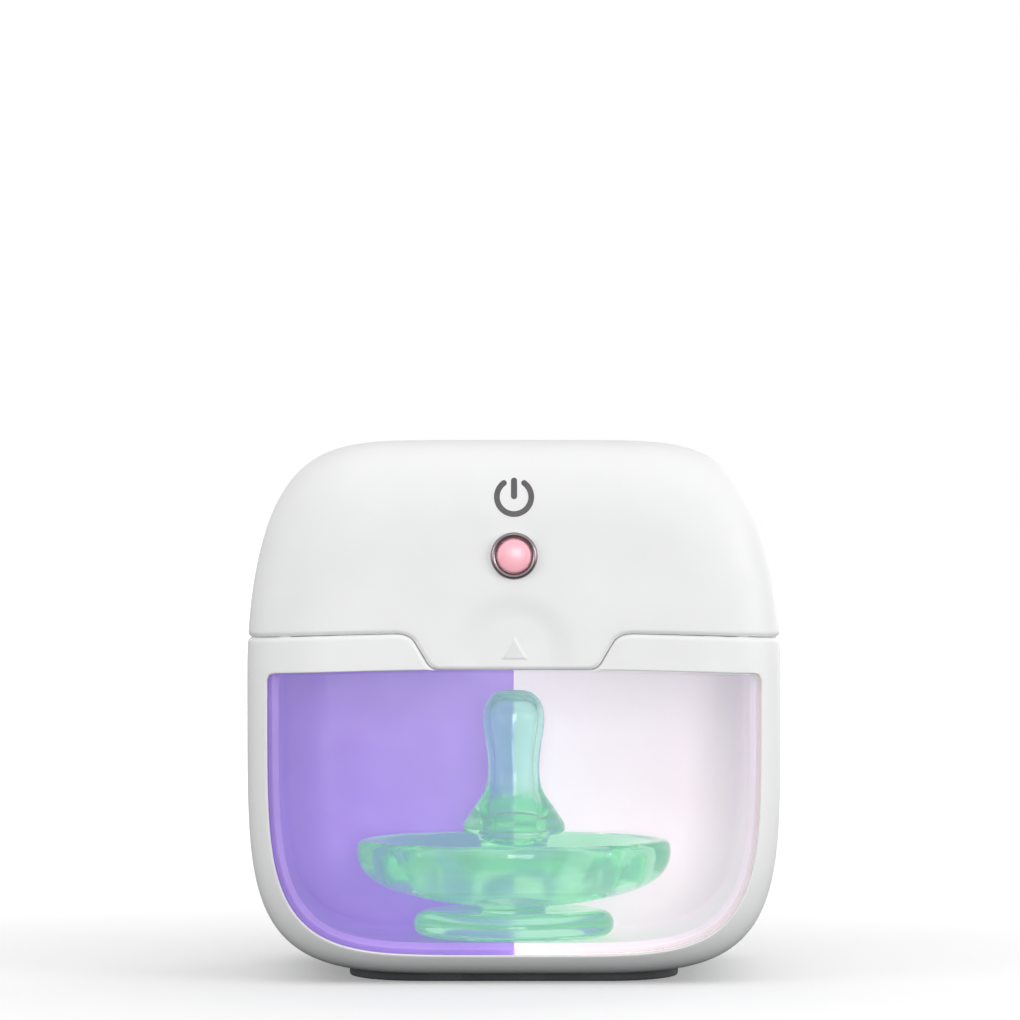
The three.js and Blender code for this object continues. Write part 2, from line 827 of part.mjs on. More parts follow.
// Battery, tray, foam
function batteryTray() {
  const legX = uvBoardWidth / 2 + trayClear + trayLegRadius;
  const halfY = batteryDepth / 2 + fitGap + trayLipWall;
  const lipX = batteryWidth / 2 + fitGap;
  const lipY = batteryDepth / 2 + fitGap;
  const plate = roundedRectangle(legX + trayLegRadius, halfY, trayLegRadius, 0, batteryBack);
  const wall = batteryCorner + fitGap;
  const lip = roundedRectangle(lipX + trayLipWall, halfY, wall + trayLipWall, 0, batteryBack);
  lip.holes.push(roundedRectangle(lipX, lipY, wall, 0, batteryBack));
  const legs = fourPlaces(legX, trayLegSpread).map(([x, y]) =>
    barZ(trayLegRadius, coverTop + fitGap, trayTop, x, y + batteryBack),
  );
  return slab(plate, trayBottom, trayTop).add(joined([slab(lip, trayBottom, trayTop + trayLip), ...legs]));
}

function batteryCell() {
  const outline = roundedRectangle(batteryWidth / 2, batteryDepth / 2, batteryCorner, 0, batteryBack);
  return slab(outline, batteryBottom, batteryTop, fitGap);
}

function foamPad() {
  return block(
    [-foamWidth / 2, batteryBack - foamDepth / 2, batteryTop + fitGap],
    [foamWidth / 2, batteryBack + foamDepth / 2, lidCeiling - fitGap],
  );
}

// USB inlet and its board
function usbOutline(outset) {
  return roundedRectangle(usbWidth / 2 + outset, usbTall / 2 + outset, usbRound + outset, 0, usbMiddle);
}

function usbSocket() {
  const can = prism(usbOutline(0), usbBack - usbLength, usbBack);
  const mouth = prism(usbOutline(-usbWall), usbBack - usbMouthDepth, usbBack + overrun);
  const tongue = block(
    [-usbTongueWidth / 2, usbBack - usbMouthDepth - usbWall, usbMiddle - usbTongueTall / 2],
    [usbTongueWidth / 2, usbBack - usbMouthDepth + usbTongueLength, usbMiddle + usbTongueTall / 2],
  );
  return can.subtract(mouth).add(tongue);
}

function chargeBoard() {
  const back = halfDepth - linerInset;
  return block(
    [-chargeBoardWidth / 2, back - chargeBoardDepth, chargeBoardTop - chargeBoardThickness],
    [chargeBoardWidth / 2, back, chargeBoardTop],
  );
}

// The ribbon runs down behind the main board and bends back onto the UV board
function boardRibbon() {
  const front = mainBoardBack + fitGap;
  const low = uvBoardTop + fitGap;
  const centreY = front + ribbonThickness + ribbonBend;
  const centreZ = low + ribbonThickness + ribbonBend;
  const end = -uvBoardDepth / 2 + ribbonAlong;
  const shape = new THREE.Shape();
  shape.moveTo(front, centreZ + ribbonUp);
  shape.absarc(centreY, centreZ, ribbonBend + ribbonThickness, Math.PI, 1.5 * Math.PI, false);
  shape.lineTo(end, low);
  shape.lineTo(end, low + ribbonThickness);
  shape.absarc(centreY, centreZ, ribbonBend, 1.5 * Math.PI, Math.PI, true);
  shape.lineTo(front + ribbonThickness, centreZ + ribbonUp);
  return stripAlongX(shape, -ribbonWidth / 2, ribbonWidth / 2);
}

// Pacifier: one piece of soft silicone. It stands on its knob, and the teat points up
function pacifier() {
  const knobBottom = footProud + chamberInset + fitGap;
  const domeBottom = teatTop - teatRadius;
  const shieldTall = shieldTop - shieldBottom;
  const teat = turned(
    [
      ...teatDomeShares.map(([out, up]) => [out * teatRadius, domeBottom + up * teatRadius]),
      [teatWaistRadius, teatWaistHeight],
      [(teatWaistRadius + teatFlareRadius) / 2, (teatWaistHeight + teatFlareHeight) / 2],
      [teatFlareRadius, teatFlareHeight],
      [teatFlareRadius, (teatFlareHeight + shieldTop) / 2],
      [teatFootRadius, shieldTop],
      [teatFootRadius, shieldBottom + shieldTall / 2],
      [0, shieldBottom + shieldTall / 2],
    ],
    pacifierSides,
  );
  const shieldProfile = [...shieldUnderShares, ...shieldOverShares].map(([out, up]) => [
    out * shieldHalfWidth,
    shieldBottom + up * shieldTall,
  ]);
  const shield = turned(shieldProfile, pacifierSides).scale([1, shieldHalfDepth / shieldHalfWidth, 1]);
  const knobTall = knobTop - knobBottom;
  const knobProfile = knobShares.map(([out, up]) => [out * knobRadius, knobBottom + up * knobTall]);
  const knob = turned(knobProfile, pacifierSides).scale([1, knobDepthShare, 1]);
  const neckBottom = knobBottom + knobTall / 2;
  const neckTop = shieldBottom + shieldTall / 4;
  const neck = barZ(neckRadius, neckBottom, neckTop, 0, 0, pacifierSides);
  const ventBottom = (knobTop + shieldBottom) / 2;
  const vents = [-ventX, ventX].map((x) => barZ(ventRadius, ventBottom, teatTop, x, 0, screwSides));
  return joined([teat, shield, knob, neck]).subtract(joined(vents));
}

// Finishes
function finish(color, roughness, metalness = 0, opacity = 1) {
  return new THREE.MeshStandardMaterial({ color, roughness, metalness, opacity, transparent: opacity < 1 });
}

const caseWhite = finish(0xf1f1f1, 0.35);
const innerWhite = finish(0xf4f3f6, 0.4);
const clearPane = finish(0xf4f0fb, 0.08, 0, 0.3);
const violetLiner = finish(0xa992e0, 0.4);
const paleLiner = finish(0xf6eef5, 0.4);
const footRubber = finish(0x4a4b4d, 0.8);
const gasketSilicone = finish(0xe6e6ea, 0.7);
const darkMetal = finish(0x8b8084, 0.35, 0.8);
const pinkCap = finish(0xfdc3ce, 0.3);
const switchBlack = finish(0x26272a, 0.6);
const plungerGrey = finish(0xd8d8da, 0.5);
const boardGreen = finish(0x2f6b4a, 0.55);
const boardWhite = finish(0xe9ecea, 0.5);
const lampCeramic = finish(0xe8dfc4, 0.5);
const quartz = finish(0xf6f8ff, 0.05, 0, 0.35);
const steel = finish(0xb9bbbf, 0.35, 0.9);
const nickel = finish(0xc4c5c9, 0.25, 0.9);
const trayGrey = finish(0xcfd1d4, 0.55);
const cellFoil = finish(0xb8bcc4, 0.4, 0.6);
const foamGrey = finish(0x5b5e63, 0.95);
const ribbonWhite = finish(0xeceef0, 0.5);
const mintSilicone = finish(0x8bc8ac, 0.3, 0, 0.8);

const sterilizer = new THREE.Group();
sterilizer.position.y = originShift;

function addPiece(name, shape, material) {
  const mesh = new THREE.Mesh(geometryOf(shape), material);
  mesh.name = name;
  sterilizer.add(mesh);
  return mesh;
}

addPiece("base_shell", baseShell(), caseWhite);
addPiece("front_window", frontWindow(), clearPane);
addPiece("chamber_liner_left", chamberLiner(-1), violetLiner);
addPiece("chamber_liner_right", chamberLiner(1), paleLiner);
addPiece("chamber_rim", chamberRim(), innerWhite);
addPiece("base_magnet", baseMagnet(), nickel);
addPiece("hinge_pin", hingePin(), steel);
addPiece("foot_ring", foot(), footRubber);
addPiece("pacifier", pacifier(), mintSilicone);

addPiece("lid_shell", lidShell(), caseWhite);
addPiece("lid_magnet", lidMagnet(), nickel);
addPiece("lid_gasket", lidGasket(), gasketSilicone);
addPiece("lid_inner_cover", lidInnerCover(), innerWhite);
addPiece("uv_board", uvBoard(), boardWhite);
addPiece("hall_sensor", hallSensor(), switchBlack);
addPiece("board_ribbon", boardRibbon(), ribbonWhite);
fourPlaces(uvLedX, uvLedY).forEach((place, index) => {
  addPiece(`uv_led_${index + 1}`, uvLed(place), lampCeramic);
  addPiece(`uv_glass_${index + 1}`, uvGlass(place), quartz);
});
fourPlaces(coverScrewX, coverScrewY).forEach(([x, y], index) => {
  const mesh = addPiece(`cover_screw_${index + 1}`, screw(coverScrewLength), steel);
  mesh.position.set(x, y, coverBottom + headHeight);
});
[-uvPostX, uvPostX].forEach((x, index) => {
  const mesh = addPiece(`uv_board_screw_${index + 1}`, screw(boardScrewLength), steel);
  mesh.rotation.x = Math.PI;
  mesh.position.set(x, 0, uvBoardTop + fitGap);
});

addPiece("button_ring", buttonRing(), darkMetal);
addPiece("power_button", powerButton(), pinkCap);
addPiece("switch_plunger", switchPlunger(), plungerGrey);
addPiece("tact_switch", tactSwitch(), switchBlack);
addPiece("status_led", statusLed(), lampCeramic);
addPiece("main_board", mainBoard(), boardGreen);
[-mainPostX, mainPostX].forEach((x, index) => {
  const mesh = addPiece(`main_board_screw_${index + 1}`, screw(boardScrewLength), steel);
  mesh.rotation.x = Math.PI / 2;
  mesh.position.set(x, mainBoardBack + fitGap, mainPostMiddle);
});

addPiece("battery_tray", batteryTray(), trayGrey);
addPiece("battery_cell", batteryCell(), cellFoil);
addPiece("battery_foam_pad", foamPad(), foamGrey);
addPiece("charge_board", chargeBoard(), boardGreen);
addPiece("usb_socket", usbSocket(), nickel);

export default sterilizer;
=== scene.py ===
# %% [markdown]
# # A pocket sterilizer for a pacifier
#
# The real object is a palm-sized white plastic case. Its lid holds ultraviolet lamps, a battery
# and one lit button, and a clear window in the front shows a two-tone chamber with a pacifier in
# it. The CAD model already gives each part its place and size, so this lesson adds the looks:
# smooth skins with rounded seams, a clear pane, soft silicone, and the finish of each plastic.
#
# The first cell loads the CAD model. Its box is kept.

import json
import math

import bmesh
import bpy
import numpy as np
from mathutils import Matrix, Vector


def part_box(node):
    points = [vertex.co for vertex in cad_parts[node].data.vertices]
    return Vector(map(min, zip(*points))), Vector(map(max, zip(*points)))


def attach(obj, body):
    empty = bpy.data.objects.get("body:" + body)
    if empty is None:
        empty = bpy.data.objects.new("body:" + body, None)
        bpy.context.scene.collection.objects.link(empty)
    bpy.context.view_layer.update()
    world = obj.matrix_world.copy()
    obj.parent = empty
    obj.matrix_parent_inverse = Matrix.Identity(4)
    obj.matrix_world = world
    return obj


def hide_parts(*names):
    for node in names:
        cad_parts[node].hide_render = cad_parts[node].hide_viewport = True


MM = 0.001
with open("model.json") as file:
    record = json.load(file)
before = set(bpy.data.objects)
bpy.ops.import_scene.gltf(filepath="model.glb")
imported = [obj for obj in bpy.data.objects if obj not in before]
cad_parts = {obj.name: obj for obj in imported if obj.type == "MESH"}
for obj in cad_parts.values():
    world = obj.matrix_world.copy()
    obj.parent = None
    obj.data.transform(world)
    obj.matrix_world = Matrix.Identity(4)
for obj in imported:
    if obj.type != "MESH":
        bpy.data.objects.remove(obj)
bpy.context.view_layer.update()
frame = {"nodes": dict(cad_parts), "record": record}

# %% [markdown]
# ## Camera and studio
#
# The photograph looks straight at the front from a little above the middle of the case. A long
# lens from 0.7 m away keeps the sides nearly parallel, as they are there. The camera comes first
# because everything after it is judged through it.

# %% Camera
PICTURE_WIDTH = 151.1 * MM  # what the picture's width spans at the front of the case
CAMERA_DISTANCE = 700 * MM
CAMERA_HEIGHT = 70.7 * MM
CAMERA_X = -0.6 * MM
SENSOR_WIDTH = 36


def new_object(name, data):
    """A new object in the scene, at the origin."""
    made = bpy.data.objects.new(name, data)
    bpy.context.scene.collection.objects.link(made)
    return made


case_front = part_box("base_shell")[0].y
camera_data = bpy.data.cameras.new("camera")
camera_data.sensor_width = SENSOR_WIDTH
camera_data.lens = SENSOR_WIDTH * CAMERA_DISTANCE / PICTURE_WIDTH
camera = new_object("camera", camera_data)
camera.location = (CAMERA_X, case_front - CAMERA_DISTANCE, CAMERA_HEIGHT)
camera.rotation_euler = (math.radians(90), 0, 0)
bpy.context.scene.camera = camera
print("lens in mm:", round(camera_data.lens, 1))

# %% [markdown]
# Every material and every Geometry Nodes tree below is made of nodes, and one function adds them
# all. Settings are a node's own properties or its unlinked inputs. Links feed an input from
# another node's output, and a bare node stands for its first output. Colours are written as the
# hex values that a paint program shows, so a second function turns them into the linear values
# that the renderer works in.

# %% Helpers for nodes and colours
def add_node(tree, kind, settings=None, links=None):
    node = tree.nodes.new(kind)
    for key, value in (settings or {}).items():
        if isinstance(key, int) or key in node.inputs:
            node.inputs[key].default_value = value
        else:
            setattr(node, key, value)
    for key, source in (links or {}).items():
        output = source.outputs[0] if hasattr(source, "outputs") else source
        tree.links.new(output, node.inputs[key])
    return node


def linear(hex_colour):
    channels = [int(hex_colour[start:start + 2], 16) / 255 for start in (1, 3, 5)]
    bright = [c / 12.92 if c <= 0.04045 else ((c + 0.055) / 1.055) ** 2.4 for c in channels]
    return (*bright, 1)


WHITE = linear("#FFFFFF")
print("mid grey is", round(linear("#808080")[0], 3), "in linear light")

# %% [markdown]
# The studio is a pale floor, a white world and five soft lamps. One lamp stands by the camera and
# one on each side, of which the right one is stronger, because the photograph's left edge is the
# darker one. Weak ones above and behind show the other faces. To the camera, and in gloss and
# glass, the world is plain white. As a light it is weaker, so that the white case keeps its
# shading. The camera sees a floor that is white but for the object's shadow: it glows a little,
# and less beside the object. The object gets no glow from it and sees it dark, so that its
# underside is in shade.

# %% World and floor
WORLD_LIGHT = 0.55
FLOOR_HALF = 15.0
FLOOR_SEEN = "#F4F4F4"
FLOOR_UNDER = "#484C4D"  # what the object sees of the floor
GLOW_NEAR, GLOW_FAR = 0.2, 0.75
NEAR, AWAY = 0.05, 0.4  # metres from the object's middle where the glow has these strengths

world = bpy.data.worlds.new("studio_world")
bpy.context.scene.world = world
world.use_nodes = True
tree = world.node_tree
tree.nodes.clear()
paths = add_node(tree, "ShaderNodeLightPath").outputs
seen = paths["Is Camera Ray"]
for ray in ("Is Glossy Ray", "Is Transmission Ray"):
    seen = add_node(tree, "ShaderNodeMath", {"operation": "MAXIMUM"}, {0: seen, 1: paths[ray]})
strength = add_node(tree, "ShaderNodeMapRange", {"To Min": WORLD_LIGHT, "To Max": 1.0},
                    {"Value": seen})
sky = add_node(tree, "ShaderNodeBackground", {"Color": WHITE}, {"Strength": strength})
add_node(tree, "ShaderNodeOutputWorld", links={"Surface": sky})

floor_finish = bpy.data.materials.new("studio_floor")
floor_finish.use_nodes = True
tree = floor_finish.node_tree
tree.nodes.clear()
to_camera = add_node(tree, "ShaderNodeLightPath").outputs["Is Camera Ray"]
for_bounces = add_node(tree, "ShaderNodeBsdfDiffuse", {"Color": linear(FLOOR_UNDER)})
for_camera = add_node(tree, "ShaderNodeBsdfDiffuse", {"Color": linear(FLOOR_SEEN)})
paint = add_node(tree, "ShaderNodeMixShader", links={0: to_camera, 1: for_bounces, 2: for_camera})
place = add_node(tree, "ShaderNodeTexCoord").outputs["Object"]
away = add_node(tree, "ShaderNodeVectorMath", {"operation": "LENGTH"}, {0: place})
glow = add_node(tree, "ShaderNodeMapRange", {
    "From Min": NEAR, "From Max": AWAY, "To Min": GLOW_NEAR, "To Max": GLOW_FAR},
    {"Value": away.outputs["Value"]})
glow = add_node(tree, "ShaderNodeMath", {"operation": "MULTIPLY"}, {0: glow, 1: to_camera})
glow = add_node(tree, "ShaderNodeEmission", {"Color": WHITE}, {"Strength": glow})
both = add_node(tree, "ShaderNodeAddShader", links={0: paint, 1: glow})
add_node(tree, "ShaderNodeOutputMaterial", links={"Surface": both})

floor_mesh = bpy.data.meshes.new("studio_floor")
corners = [(x * FLOOR_HALF, y * FLOOR_HALF, 0) for x, y in ((-1, -1), (1, -1), (1, 1), (-1, 1))]
floor_mesh.from_pydata(corners, [], [(0, 1, 2, 3)])
floor_mesh.materials.append(floor_finish)
new_object("studio_floor", floor_mesh)
print("floor in metres:", 2 * FLOOR_HALF, "light of the world:", WORLD_LIGHT)

# %% Lamps
# name, place, aimed at, width, power
LAMPS = [
    ("front_lamp", (0.06, -1.05, 0.12), (0, 0, 0.03), 0.3, 3.3),
    ("key_lamp", (0.85, -0.45, 0.15), (0, 0, 0.04), 0.5, 5.0),
    ("fill_lamp", (-0.85, -0.45, 0.15), (0, 0, 0.04), 0.5, 3.2),
    ("top_lamp", (0.05, -0.05, 0.7), (0, 0, 0), 0.5, 0.3),
    ("back_lamp", (0.6, 0.8, 0.25), (0, 0, 0.04), 0.5, 2.2),
]

for name, place, target, width, power in LAMPS:
    light = bpy.data.lights.new(name, "AREA")
    light.size = width
    light.energy = power
    lamp = new_object(name, light)
    lamp.location = place
    lamp.rotation_euler = (Vector(target) - Vector(place)).to_track_quat("-Z", "Y").to_euler()
bpy.context.scene.view_settings.view_transform = "Standard"
print("lamps:", len(LAMPS))

# %% [markdown]
# ## Finishes
#
# Each finish starts from what the real piece is made of. Nearly all of them are moulded plastics,
# and a moulded face is never one flat colour: the pigment clouds a little over centimetres, the
# steel of the mould leaves a fine texture, and handling changes the gloss in patches. So the
# moulded finishes share three layers of noise, in real sizes, and differ in colour, gloss and
# grain. The texture of the mould is about a tenth of a millimetre. It is drawn a little coarser
# here, so that it still shows in the picture.

# %% Helpers for finishes
FINISHES = {}
NOISE_MIDDLE = (0.3, 0.7)  # most of a noise's values lie between these
SHOWN_BUMP = 0.3


def surface(name, slot, **settings):
    """A new finish: its tree, its shader with fixed settings, and the piece's coordinates."""
    material = bpy.data.materials.new(name)
    material.use_nodes = True
    tree = material.node_tree
    tree.nodes.clear()
    shader = add_node(tree, "ShaderNodeBsdfPrincipled",
                      {key.replace("_", " "): value for key, value in settings.items()})
    add_node(tree, "ShaderNodeOutputMaterial", links={"Surface": shader})
    FINISHES[slot] = material
    return tree, shader, add_node(tree, "ShaderNodeTexCoord").outputs["Object"]


def lay(tree, goal, pattern, low, high=SHOWN_BUMP, detail=2):
    """Lays a pattern on an input of the shader: two colours, two roughnesses, or a bump by its
    depth in millimetres and its strength. A number as pattern stands for clouds of noise, each
    about that many millimetres wide."""
    if isinstance(pattern, (int, float)):
        pattern = add_node(tree, "ShaderNodeTexNoise", {
            "Scale": 1 / (pattern * MM), "Detail": detail, "Roughness": 0.5},
            {"Vector": tree.nodes["Texture Coordinate"].outputs["Object"]})
    if goal == "Base Color":
        laid = add_node(tree, "ShaderNodeValToRGB", links={"Fac": pattern})
        for stop, place, colour in zip(laid.color_ramp.elements, NOISE_MIDDLE, (low, high)):
            stop.position = place
            stop.color = linear(colour)
    elif goal == "Roughness":
        laid = add_node(tree, "ShaderNodeMapRange", {
            "From Min": NOISE_MIDDLE[0], "From Max": NOISE_MIDDLE[1], "To Min": low,
            "To Max": high}, {"Value": pattern})
    else:
        laid = add_node(tree, "ShaderNodeBump", {"Distance": low * MM, "Strength": high},
                        {"Height": pattern})
    tree.links.new(laid.outputs[0], tree.nodes["Principled BSDF"].inputs[goal])
    return laid


wanted = {entry["material_slot"] for entry in frame["record"]["subparts"]}
print("slots that need a finish:", len(wanted))

# %% Moulded finishes
ABS, SILICONE = 1.53, 1.41  # refractive indices
MOULD_BUMP = 0.5
HALF_CHAMBER = 36 * MM
PAINTED_GLOW_AT_SIDE = 0.45  # painted light: the share of the painted glow in the middle, under the lid's lamps, that is left at the sides
# strength of the painted light on the liner, which stands in for light inside the chamber; the
# plastic gives none
LINER_PAINTED_GLOW = 0.46


def moulded(name, slot, colours, gloss, grain, relief, cloud=14, ior=ABS, glow=0):
    """A moulded plastic: two near colours, two roughnesses, and a grain in millimetres."""
    tree, shader, place = surface(name, slot, IOR=ior)
    colour = lay(tree, "Base Color", cloud, *colours)
    lay(tree, "Roughness", cloud / 3, *gloss)
    lay(tree, "Normal", grain, relief, MOULD_BUMP, detail=3)
    # painted light: the colour is laid on again as a glow, strongest in the middle of the chamber
    # and fainter towards its sides
    if glow:
        parts = add_node(tree, "ShaderNodeSeparateXYZ", links={0: place})
        side = add_node(tree, "ShaderNodeMath", {"operation": "ABSOLUTE"}, {
            0: parts.outputs["X"]})
        near = add_node(tree, "ShaderNodeMapRange", {
            "From Min": 0, "From Max": HALF_CHAMBER, "To Min": 1, "To Max": PAINTED_GLOW_AT_SIDE},
            {"Value": side})
        lit = add_node(tree, "ShaderNodeVectorMath", {"operation": "SCALE"}, {
            0: colour, "Scale": near})
        tree.links.new(lit.outputs[0], shader.inputs["Emission Color"])
        shader.inputs["Emission Strength"].default_value = glow


print("glow at the liner's side:", round(LINER_PAINTED_GLOW * PAINTED_GLOW_AT_SIDE, 2))

# %% Plastics and rubbers
# ABS, injection moulded in a finely eroded mould: soft sheen, no sharp reflections
moulded("white_abs_satin", "case_white", ("#F1F1F1", "#F5F5F5"), (0.46, 0.55), 0.35, 0.012)
# the raised mark on the tab: the same ABS, eroded coarser in the mould, so a tone darker
moulded("white_abs_coarse", "mark_white", ("#EDEDED", "#F0F0F0"), (0.6, 0.75), 0.25, 0.05)
# the same ABS from a plainer mould, a little duller
moulded("white_abs_inner", "inner_white", ("#F0EFF3", "#F6F5F8"), (0.42, 0.52), 0.3, 0.015)
# ABS dyed through, satin, with painted light: a glow in its own colour that brightens the chamber's
# walls, most in the middle
moulded("violet_abs", "liner_violet", ("#AD8FE0", "#B798EA"), (0.36, 0.46), 0.3, 0.012,
        glow=LINER_PAINTED_GLOW)
moulded("pale_pink_abs", "liner_pale", ("#FEF3F2", "#FFF7F6"), (0.36, 0.46), 0.3, 0.012,
        glow=LINER_PAINTED_GLOW)
# silicone rubber, moulded matt, with dust on it in patches
moulded("white_silicone", "gasket_silicone", ("#DFDFE4", "#E9E9EC"), (0.6, 0.75), 0.25, 0.02,
        ior=SILICONE)
# thermoplastic rubber: dark, dull, with a coarse grain that grips the table
moulded("dark_foot_rubber", "foot_rubber", ("#404143", "#4C4D50"), (0.72, 0.9), 0.4, 0.05, 9,
        1.52)
# acetal, slippery and slightly waxy
moulded("grey_acetal", "plunger_grey", ("#D3D3D6", "#DCDCDE"), (0.4, 0.5), 0.3, 0.01, ior=1.48)
# glass-filled nylon, dull, as a switch housing is
moulded("black_nylon", "black_plastic", ("#232427", "#2A2B2F"), (0.55, 0.7), 0.2, 0.02, 4)
# ABS tray, matt
moulded("grey_abs_tray", "tray_grey", ("#CBCDD0", "#D4D6D9"), (0.5, 0.62), 0.35, 0.02)
# polyester film over flat copper wires: smooth, with a faint ripple across
moulded("white_flat_cable", "ribbon_white", ("#E9EBED", "#F0F2F4"), (0.35, 0.5), 0.6, 0.02, 5,
        1.6)
# pressed alumina: cream, dense and smooth
moulded("cream_ceramic", "lamp_ceramic", ("#E3D8BC", "#ECE3CB"), (0.35, 0.5), 0.15, 0.01, 3, 1.7)
# printed ink, matt and thin, with the faint mottle of a pad print
moulded("grey_pad_print", "sign_ink", ("#545154", "#5E5B5E"), (0.45, 0.55), 0.2, 0.008, 3, 1.5)
print("moulded finishes:", len(FINISHES))

# %% [markdown]
# The window is clear polycarbonate, 2 mm thick. As a solid of glass it would keep the light out
# of the chamber, so it is a mix: mostly see-through, with a polished gloss over it that gets
# stronger at a slant, as on any clear sheet. The lamps' quartz discs are the same kind of mix.

# %% Clear finishes
SMEAR = 9  # width of a smear in millimetres


def clear(name, slot, tint, roughness, least, most):
    """A see-through sheet with a gloss, from head on to a slant."""
    tree, shader, _ = surface(name, slot, IOR=1.55, Base_Color=WHITE)
    lay(tree, "Roughness", SMEAR, roughness, roughness * 2)
    facing = add_node(tree, "ShaderNodeLayerWeight", {"Blend": 0.35})
    amount = add_node(tree, "ShaderNodeMapRange", {"To Min": least, "To Max": most},
                      {"Value": facing.outputs["Fresnel"]})
    through = add_node(tree, "ShaderNodeBsdfTransparent", {"Color": linear(tint)})
    mix = add_node(tree, "ShaderNodeMixShader", links={0: amount, 1: through, 2: shader})
    tree.links.new(mix.outputs[0], tree.nodes["Material Output"].inputs["Surface"])


clear("clear_polycarbonate", "clear_pane", "#FCFBFE", 0.05, 0.03, 0.4)
clear("polished_quartz", "quartz", "#F7F9FF", 0.03, 0.06, 0.6)
print("finishes so far:", len(FINISHES))

# %% [markdown]
# The pacifier is translucent silicone. Light goes in, scatters a little and comes out mint green,
# so the thin teat looks paler than the thick shield and knob. It is drawn as a slightly rough
# glass of silicone's refractive index, tinted by height, and a dust-fine bump breaks its
# highlights. A second finish, nearly clear, is for the inner wall of the teat, because the light
# would be tinted again there. Glass in a closed chamber comes out too dark, so the silicone has a
# faint glow, which stands for the light that scatters inside it.

# %% Silicone and lit cap
THICK_END, THIN_START = 23 * MM, 31 * MM  # heights between which the teat gets thin

tree, shader, place = surface("mint_silicone_translucent", "mint_silicone", IOR=SILICONE,
                              Transmission_Weight=0.85, Emission_Color=linear("#8FE5BC"),
                              Emission_Strength=0.1)
thick = lay(tree, "Base Color", 8, "#B4F1CE", "#C6F7DC")
parts = add_node(tree, "ShaderNodeSeparateXYZ", links={0: place})
thin = add_node(tree, "ShaderNodeMapRange", {
    "From Min": THICK_END, "From Max": THIN_START, "interpolation_type": "SMOOTHSTEP"},
    {"Value": parts.outputs["Z"]})
tint = add_node(tree, "ShaderNodeMix", {"data_type": "RGBA", 7: linear("#CDFAF0")}, {
    0: thin, 6: thick})
tree.links.new(tint.outputs[2], shader.inputs["Base Color"])
lay(tree, "Roughness", 5, 0.07, 0.13)
lay(tree, "Normal", 0.6, 0.02)

tree, _, _ = surface("clear_silicone", "clear_silicone", IOR=SILICONE, Transmission_Weight=1)
lay(tree, "Base Color", 6, "#F6FEFF", "#FFFFFF")
lay(tree, "Roughness", 5, 0.1, 0.16)

# acrylic cap, lit from behind: pink, with a moulded gloss
tree, _, _ = surface("pink_acrylic_lit", "pink_cap", IOR=1.49,
                     Emission_Color=linear("#FFC3CE"), Emission_Strength=0.12)
lay(tree, "Base Color", 3, "#FAB0BD", "#FDBCC8")
lay(tree, "Roughness", 2, 0.2, 0.3)
lay(tree, "Normal", 0.4, 0.01)
print("finishes so far:", len(FINISHES))

# %% [markdown]
# The metals keep the default refractive index, because their colour sets how they reflect. The
# ring is plated dark and bright, the screws are zinc-plated steel, and the magnets and the
# charging socket are nickel. Fine scratches, drawn as noise stretched one way, keep them from
# looking like plastic.

# %% Metals
def metal(name, slot, colours, gloss, stretch, scratch):
    """A metal with its brushing or wear: stretch says how much longer a scratch is than wide."""
    tree, _, place = surface(name, slot, Metallic=1)
    along = add_node(tree, "ShaderNodeMapping", {"Scale": (1 / stretch, 1, 1)}, {"Vector": place})
    lines = add_node(tree, "ShaderNodeTexNoise", {
        "Scale": 1 / (scratch * MM), "Detail": 3, "Roughness": 0.5}, {"Vector": along})
    lay(tree, "Base Color", 4, *colours)
    lay(tree, "Roughness", lines, *gloss)
    lay(tree, "Normal", lines, 0.01)


metal("dark_plated_ring", "dark_metal", ("#857A7D", "#948A8D"), (0.3, 0.42), 6, 0.2)
metal("zinc_plated_steel", "steel", ("#B4B6BA", "#C2C4C8"), (0.3, 0.42), 8, 0.15)
metal("bright_nickel", "nickel", ("#C2C2C4", "#CDCCCC"), (0.16, 0.28), 5, 0.2)
metal("aluminium_foil_pouch", "cell_foil", ("#B6BAC2", "#C6CAD0"), (0.32, 0.5), 1.5, 1.5)
print("finishes so far:", len(FINISHES))

# %% [markdown]
# Two finishes have a pattern of their own. A circuit board is glass cloth under a thin coloured
# mask. Its threads are half a millimetre apart, and are drawn nearly twice as coarse, so that they
# show faintly. Closed-cell foam is full of bubbles, and a texture of random cells draws them.

# %% Boards and foam
TRACK_UNIT = 3.125 * MM  # gives a track in every 8.1 mm by 2.2 mm, with 0.75 mm between two
WEAVE_SCALE = 0.35 / MM  # gives a thread in every 0.9 mm
BUBBLE = 0.5 * MM


def circuit_board(name, slot, mask, copper):
    """Solder mask over glass cloth, with tracks that show as slightly lighter bands."""
    tree, _, place = surface(name, slot, IOR=1.55, Roughness=0.42)
    tracks = add_node(tree, "ShaderNodeTexBrick", {
        "Scale": 1 / TRACK_UNIT, "Mortar Size": 0.12, "Brick Width": 2.6, "Row Height": 0.7},
        {"Vector": place})
    weave = add_node(tree, "ShaderNodeTexWave", {"Scale": WEAVE_SCALE, "Distortion": 1.5},
                     {"Vector": place})
    lay(tree, "Base Color", tracks.outputs["Fac"], mask, copper)
    lay(tree, "Normal", weave.outputs["Fac"], 0.03)


circuit_board("green_solder_mask", "board_green", "#2B6547", "#3A7A58")
circuit_board("white_solder_mask", "board_white", "#E4E7E5", "#F0F2F0")

tree, _, place = surface("closed_cell_foam", "foam_grey", Roughness=0.92)
bubbles = add_node(tree, "ShaderNodeTexVoronoi", {"Scale": 1 / BUBBLE}, {"Vector": place})
lay(tree, "Base Color", bubbles, "#46494D", "#62656A")
lay(tree, "Normal", bubbles, 0.1, 0.6)

for entry in frame["record"]["subparts"]:
    for slot in frame["nodes"][entry["node"]].material_slots:
        slot.material = FINISHES[entry["material_slot"]]

